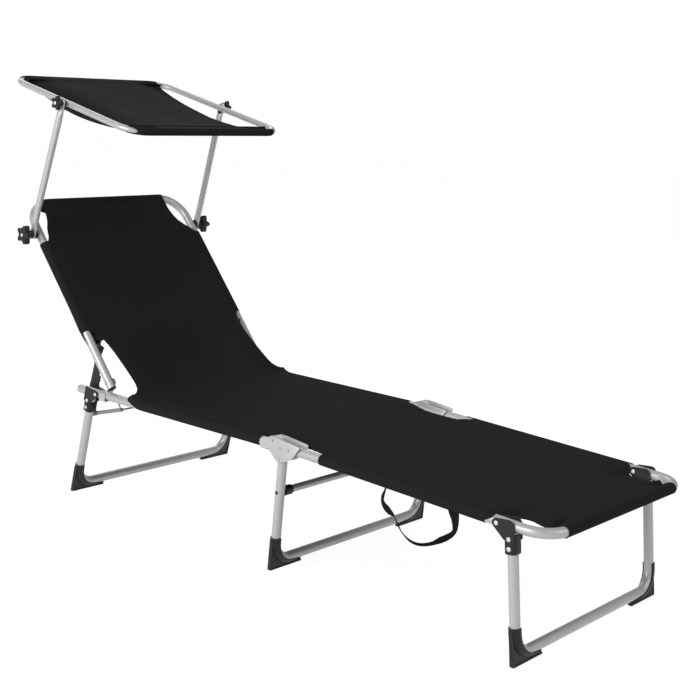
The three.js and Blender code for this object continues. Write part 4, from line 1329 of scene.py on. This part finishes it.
# %% Cloth of the canopy
CANOPY_SAG = 0.014
EDGE_SAG = 0.039
CANOPY_CROSS = 0.239
CANOPY_SHIFT = 0.011
LOOSE_SKEW, EDGE_SKEW = 0.85, 0.75
EDGE_FROM, EDGE_RAMP = 0.13, 0.10
BEND_SHARE = 0.08
canopy_top = canopy_sleeve.ring
CANOPY_LENGTH = CANOPY_HEAD + CANOPY_FOOT


def canopy_place(u, v):
    share = min(max((v + CANOPY_FOOT) / CANOPY_LENGTH, 0), 1)
    edge = smooth((abs(u) - EDGE_FROM) / EDGE_RAMP)
    loose = math.sin(math.pi * share ** LOOSE_SKEW)
    z = canopy_top - CANOPY_SAG * loose * (1 - edge) - EDGE_SAG * loose ** EDGE_SKEW * edge
    x = u - CANOPY_SHIFT * (1 - loose)
    past = max(abs(x) - (CANOPY_HALF - CANOPY_BEND), 0)
    dip = CANOPY_BEND - math.sqrt(CANOPY_BEND ** 2 - past ** 2)
    out, up, y = 0, 0, v
    if share < BEND_SHARE:
        y += dip * (1 - share / BEND_SHARE)
    if share > 1 - BEND_SHARE:
        y -= dip * (share - (1 - BEND_SHARE)) / BEND_SHARE
    if v < -CANOPY_FOOT:
        out, up = canopy_sleeve.at(-CANOPY_FOOT - v)
        y = -CANOPY_FOOT - out + dip
    if v > CANOPY_HEAD:
        out, up = canopy_sleeve.at(v - CANOPY_HEAD)
        y = CANOPY_HEAD + out - dip
    return CANOPY @ Vector((x, y, z + up))


canopy_outline = [
    (-CANOPY_FOOT - canopy_sleeve.length, CANOPY_CROSS), (-CANOPY_FOOT, CANOPY_CROSS),
    (-CANOPY_FOOT + 0.012, 0.238), (-CANOPY_FOOT + 0.035, 0.229), (-0.190, 0.218), (-0.120, 0.219),
    (-0.060, 0.226), (0.000, 0.232), (0.060, 0.231), (0.120, 0.228), (CANOPY_HEAD - 0.050, 0.230),
    (CANOPY_HEAD - 0.012, 0.237), (CANOPY_HEAD, CANOPY_CROSS),
    (CANOPY_HEAD + canopy_sleeve.length, CANOPY_CROSS),
]
canopy_rows = outline_rows(canopy_outline, (-CANOPY_FOOT, CANOPY_HEAD))
canopy_cloth = sew("canopy_cloth", canopy_rows, canopy_place)
canopy_lines = both([hem(canopy_rows, -CANOPY_FOOT + HEM_START, CANOPY_HEAD - HEM_START)])
for v in (-CANOPY_FOOT + SEAM_INSET, -CANOPY_FOOT + SEAM_INSET - SECOND_ROW,
          CANOPY_HEAD - SEAM_INSET, CANOPY_HEAD - SEAM_INSET + SECOND_ROW):
    canopy_lines.append(cross_seam(v, CANOPY_CROSS - CROSS_END))
canopy_stitches = stitches("canopy_stitches", canopy_lines, canopy_place)
for piece in (canopy_cloth, canopy_stitches):
    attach(piece, "canopy")
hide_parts("canopy_fabric")


# %% [markdown]
# ## The carrying strap
#
# A loop of webbing hangs below the foot section, for carrying the folded lounger. Both its ends
# are sewn under the cloth. The band twists on its way, which is why it looks thin in places and
# wide in others. It is a line of points with a turn at each, and a flat section swept along it.

# %% Strap
STRAP_HALF = 0.0125
STRAP_THICK = 0.0016
STRAP_COLUMNS = 6
SPLINE_STEPS = 5
low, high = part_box("carry_strap")
strap_x = (low.x + high.x) / 2
STRAP_LINE = [
    # (y, z, turn in degrees about the band's own line)
    (-0.462, 0.2920, 130), (-0.457, 0.2740, 138), (-0.4525, 0.2540, 140),
    (-0.4480, 0.2370, 128), (-0.4540, 0.2240, 118), (-0.4660, 0.2165, 116),
    (-0.4810, 0.2100, 135), (-0.4900, 0.1967, 142), (-0.5035, 0.1805, 141),
    (-0.5206, 0.1698, 149), (-0.5398, 0.1653, 163), (-0.5602, 0.1674, 178),
    (-0.5810, 0.1750, 190), (-0.5976, 0.1851, 204), (-0.6161, 0.1958, 210),
    (-0.6320, 0.2080, 214), (-0.6400, 0.2230, 236), (-0.6400, 0.2410, 252),
    (-0.6350, 0.2600, 276), (-0.6330, 0.2760, 300), (-0.6320, 0.2905, 320),
]


def spline(values, steps):
    """A smooth curve through rows of numbers."""
    rows = np.array(values, float)
    padded = np.vstack([2 * rows[0] - rows[1], rows, 2 * rows[-1] - rows[-2]])
    out = []
    for i in range(1, len(padded) - 2):
        p0, p1, p2, p3 = padded[i - 1:i + 3]
        for k in range(steps):
            t = k / steps
            out.append(0.5 * (2 * p1 + (p2 - p0) * t + (2 * p0 - 5 * p1 + 4 * p2 - p3) * t ** 2
                              + (3 * p1 - p0 - 3 * p2 + p3) * t ** 3))
    return out + [rows[-1]]


def make_strap():
    curve = spline(STRAP_LINE, SPLINE_STEPS)
    points, flat, travelled = [], [], 0.0
    places = [Vector((strap_x, y, z)) for y, z, _ in curve]
    for i, place in enumerate(places):
        ahead = (places[min(i + 1, len(places) - 1)] - places[max(i - 1, 0)]).normalized()
        across = Matrix.Rotation(math.radians(curve[i][2]), 3, ahead) @ Vector((1, 0, 0))
        across = (across - ahead * across.dot(ahead)).normalized()
        travelled += (place - places[max(i - 1, 0)]).length
        for c in range(STRAP_COLUMNS + 1):
            reach = STRAP_HALF * (2 * c / STRAP_COLUMNS - 1)
            points.append(place + across * reach)
            flat.append((reach, travelled))
    width = STRAP_COLUMNS + 1
    faces = [(r * width + c, r * width + c + 1, (r + 1) * width + c + 1, (r + 1) * width + c)
             for r in range(len(places) - 1) for c in range(STRAP_COLUMNS)]
    strap = make_piece("strap_band", points, faces, webbing_finish, "foot_section", "webbing",
                       ["carry_strap"], closed=False)
    thicken(strap, flat, STRAP_THICK)
    print("strap length", round(travelled, 3))
    return strap, travelled


strap, strap_length = make_strap()
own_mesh(strap)

# %% [markdown]
# ## Floor, light and background
#
# A product picture has a plain pale floor that runs into a white background, and big soft lamps.
# Large area lamps and a pale sky give soft shading, and the metal needs white to mirror.
# The floor is a real surface, so that the legs stand in a faint shadow.

# %% Floor
FLOOR_SIZE = 30.0
FLOOR_DROP = 0.0005
FLOOR_GREY = 0.86
GLOW_SHARE, GLOW_STRENGTH = 0.86, 1.09


def ray_is(owner, first, *others):
    """1 where a ray is of one of the kinds named, such as a ray from the camera, and 0 elsewhere."""
    path = add(owner, "ShaderNodeLightPath")
    found = path.outputs[first]
    for kind in others:
        larger = add(owner, "ShaderNodeMath", operation="MAXIMUM")
        link(owner, found, larger.inputs[0])
        link(owner, path.outputs[kind], larger.inputs[1])
        found = larger.outputs["Value"]
    return found


def show_mixed(owner, share, first, second, output):
    """Mixes two shaders by a share and shows the result."""
    mixed = add(owner, "ShaderNodeMixShader")
    link(owner, share, mixed.inputs["Fac"])
    link(owner, first, mixed.inputs[1])
    link(owner, second, mixed.inputs[2])
    link(owner, mixed.outputs["Shader"], owner.node_tree.nodes[output].inputs["Surface"])


def make_floor():
    finish, shader = start_finish("pale_floor", (FLOOR_GREY, FLOOR_GREY, FLOOR_GREY), 0.9, 0.0, 0.1)
    share = add(finish, "ShaderNodeMath", operation="MULTIPLY")
    share.inputs[1].default_value = GLOW_SHARE
    seen = ray_is(finish, "Is Camera Ray", "Is Glossy Ray", "Is Transmission Ray")
    link(finish, seen, share.inputs[0])
    glow = add(finish, "ShaderNodeEmission", Strength=GLOW_STRENGTH)
    show_mixed(finish, share.outputs["Value"], shader.outputs["BSDF"], glow.outputs["Emission"],
               "Material Output")
    half = FLOOR_SIZE / 2
    square = ((-half, -half), (half, -half), (half, half), (-half, half))
    corners = [(x, y, -FLOOR_DROP) for x, y in square]
    floor = make_piece("floor", corners, [(0, 1, 2, 3)], finish, None, closed=False)


make_floor()

# %% Sky and lamps
SKY_STRENGTH = 0.46


def make_sky():
    world = bpy.data.worlds.new("studio")
    bpy.context.scene.world = world
    world.use_nodes = True
    level = world.node_tree.nodes["Background"]
    level.inputs["Color"].default_value = (1, 1, 1, 1)
    level.inputs["Strength"].default_value = SKY_STRENGTH
    white = add(world, "ShaderNodeBackground", Color=(1, 1, 1, 1), Strength=1.0)
    seen = ray_is(world, "Is Camera Ray", "Is Transmission Ray")
    show_mixed(world, seen, level.outputs["Background"], white.outputs["Background"], "World Output")


def make_lamp(name, place, target, size, power):
    data = bpy.data.lights.new(name, "AREA")
    data.shape = "DISK"
    data.size = size
    data.energy = power
    lamp = bpy.data.objects.new(name, data)
    lamp.location = place
    lamp.rotation_euler = (Vector(target) - Vector(place)).to_track_quat("-Z", "Y").to_euler()
    bpy.context.scene.collection.objects.link(lamp)


make_sky()
CENTRE = (0, 0, 0.4)
make_lamp("key_lamp", (-4.4, 0.2, 2.0), CENTRE, 2.4, 170)
make_lamp("fill_lamp", (1.2, -3.8, 2.6), CENTRE, 3.0, 45)
make_lamp("back_lamp", (1.5, 3.4, 3.0), CENTRE, 2.6, 40)
bpy.context.scene.view_settings.view_transform = "Standard"
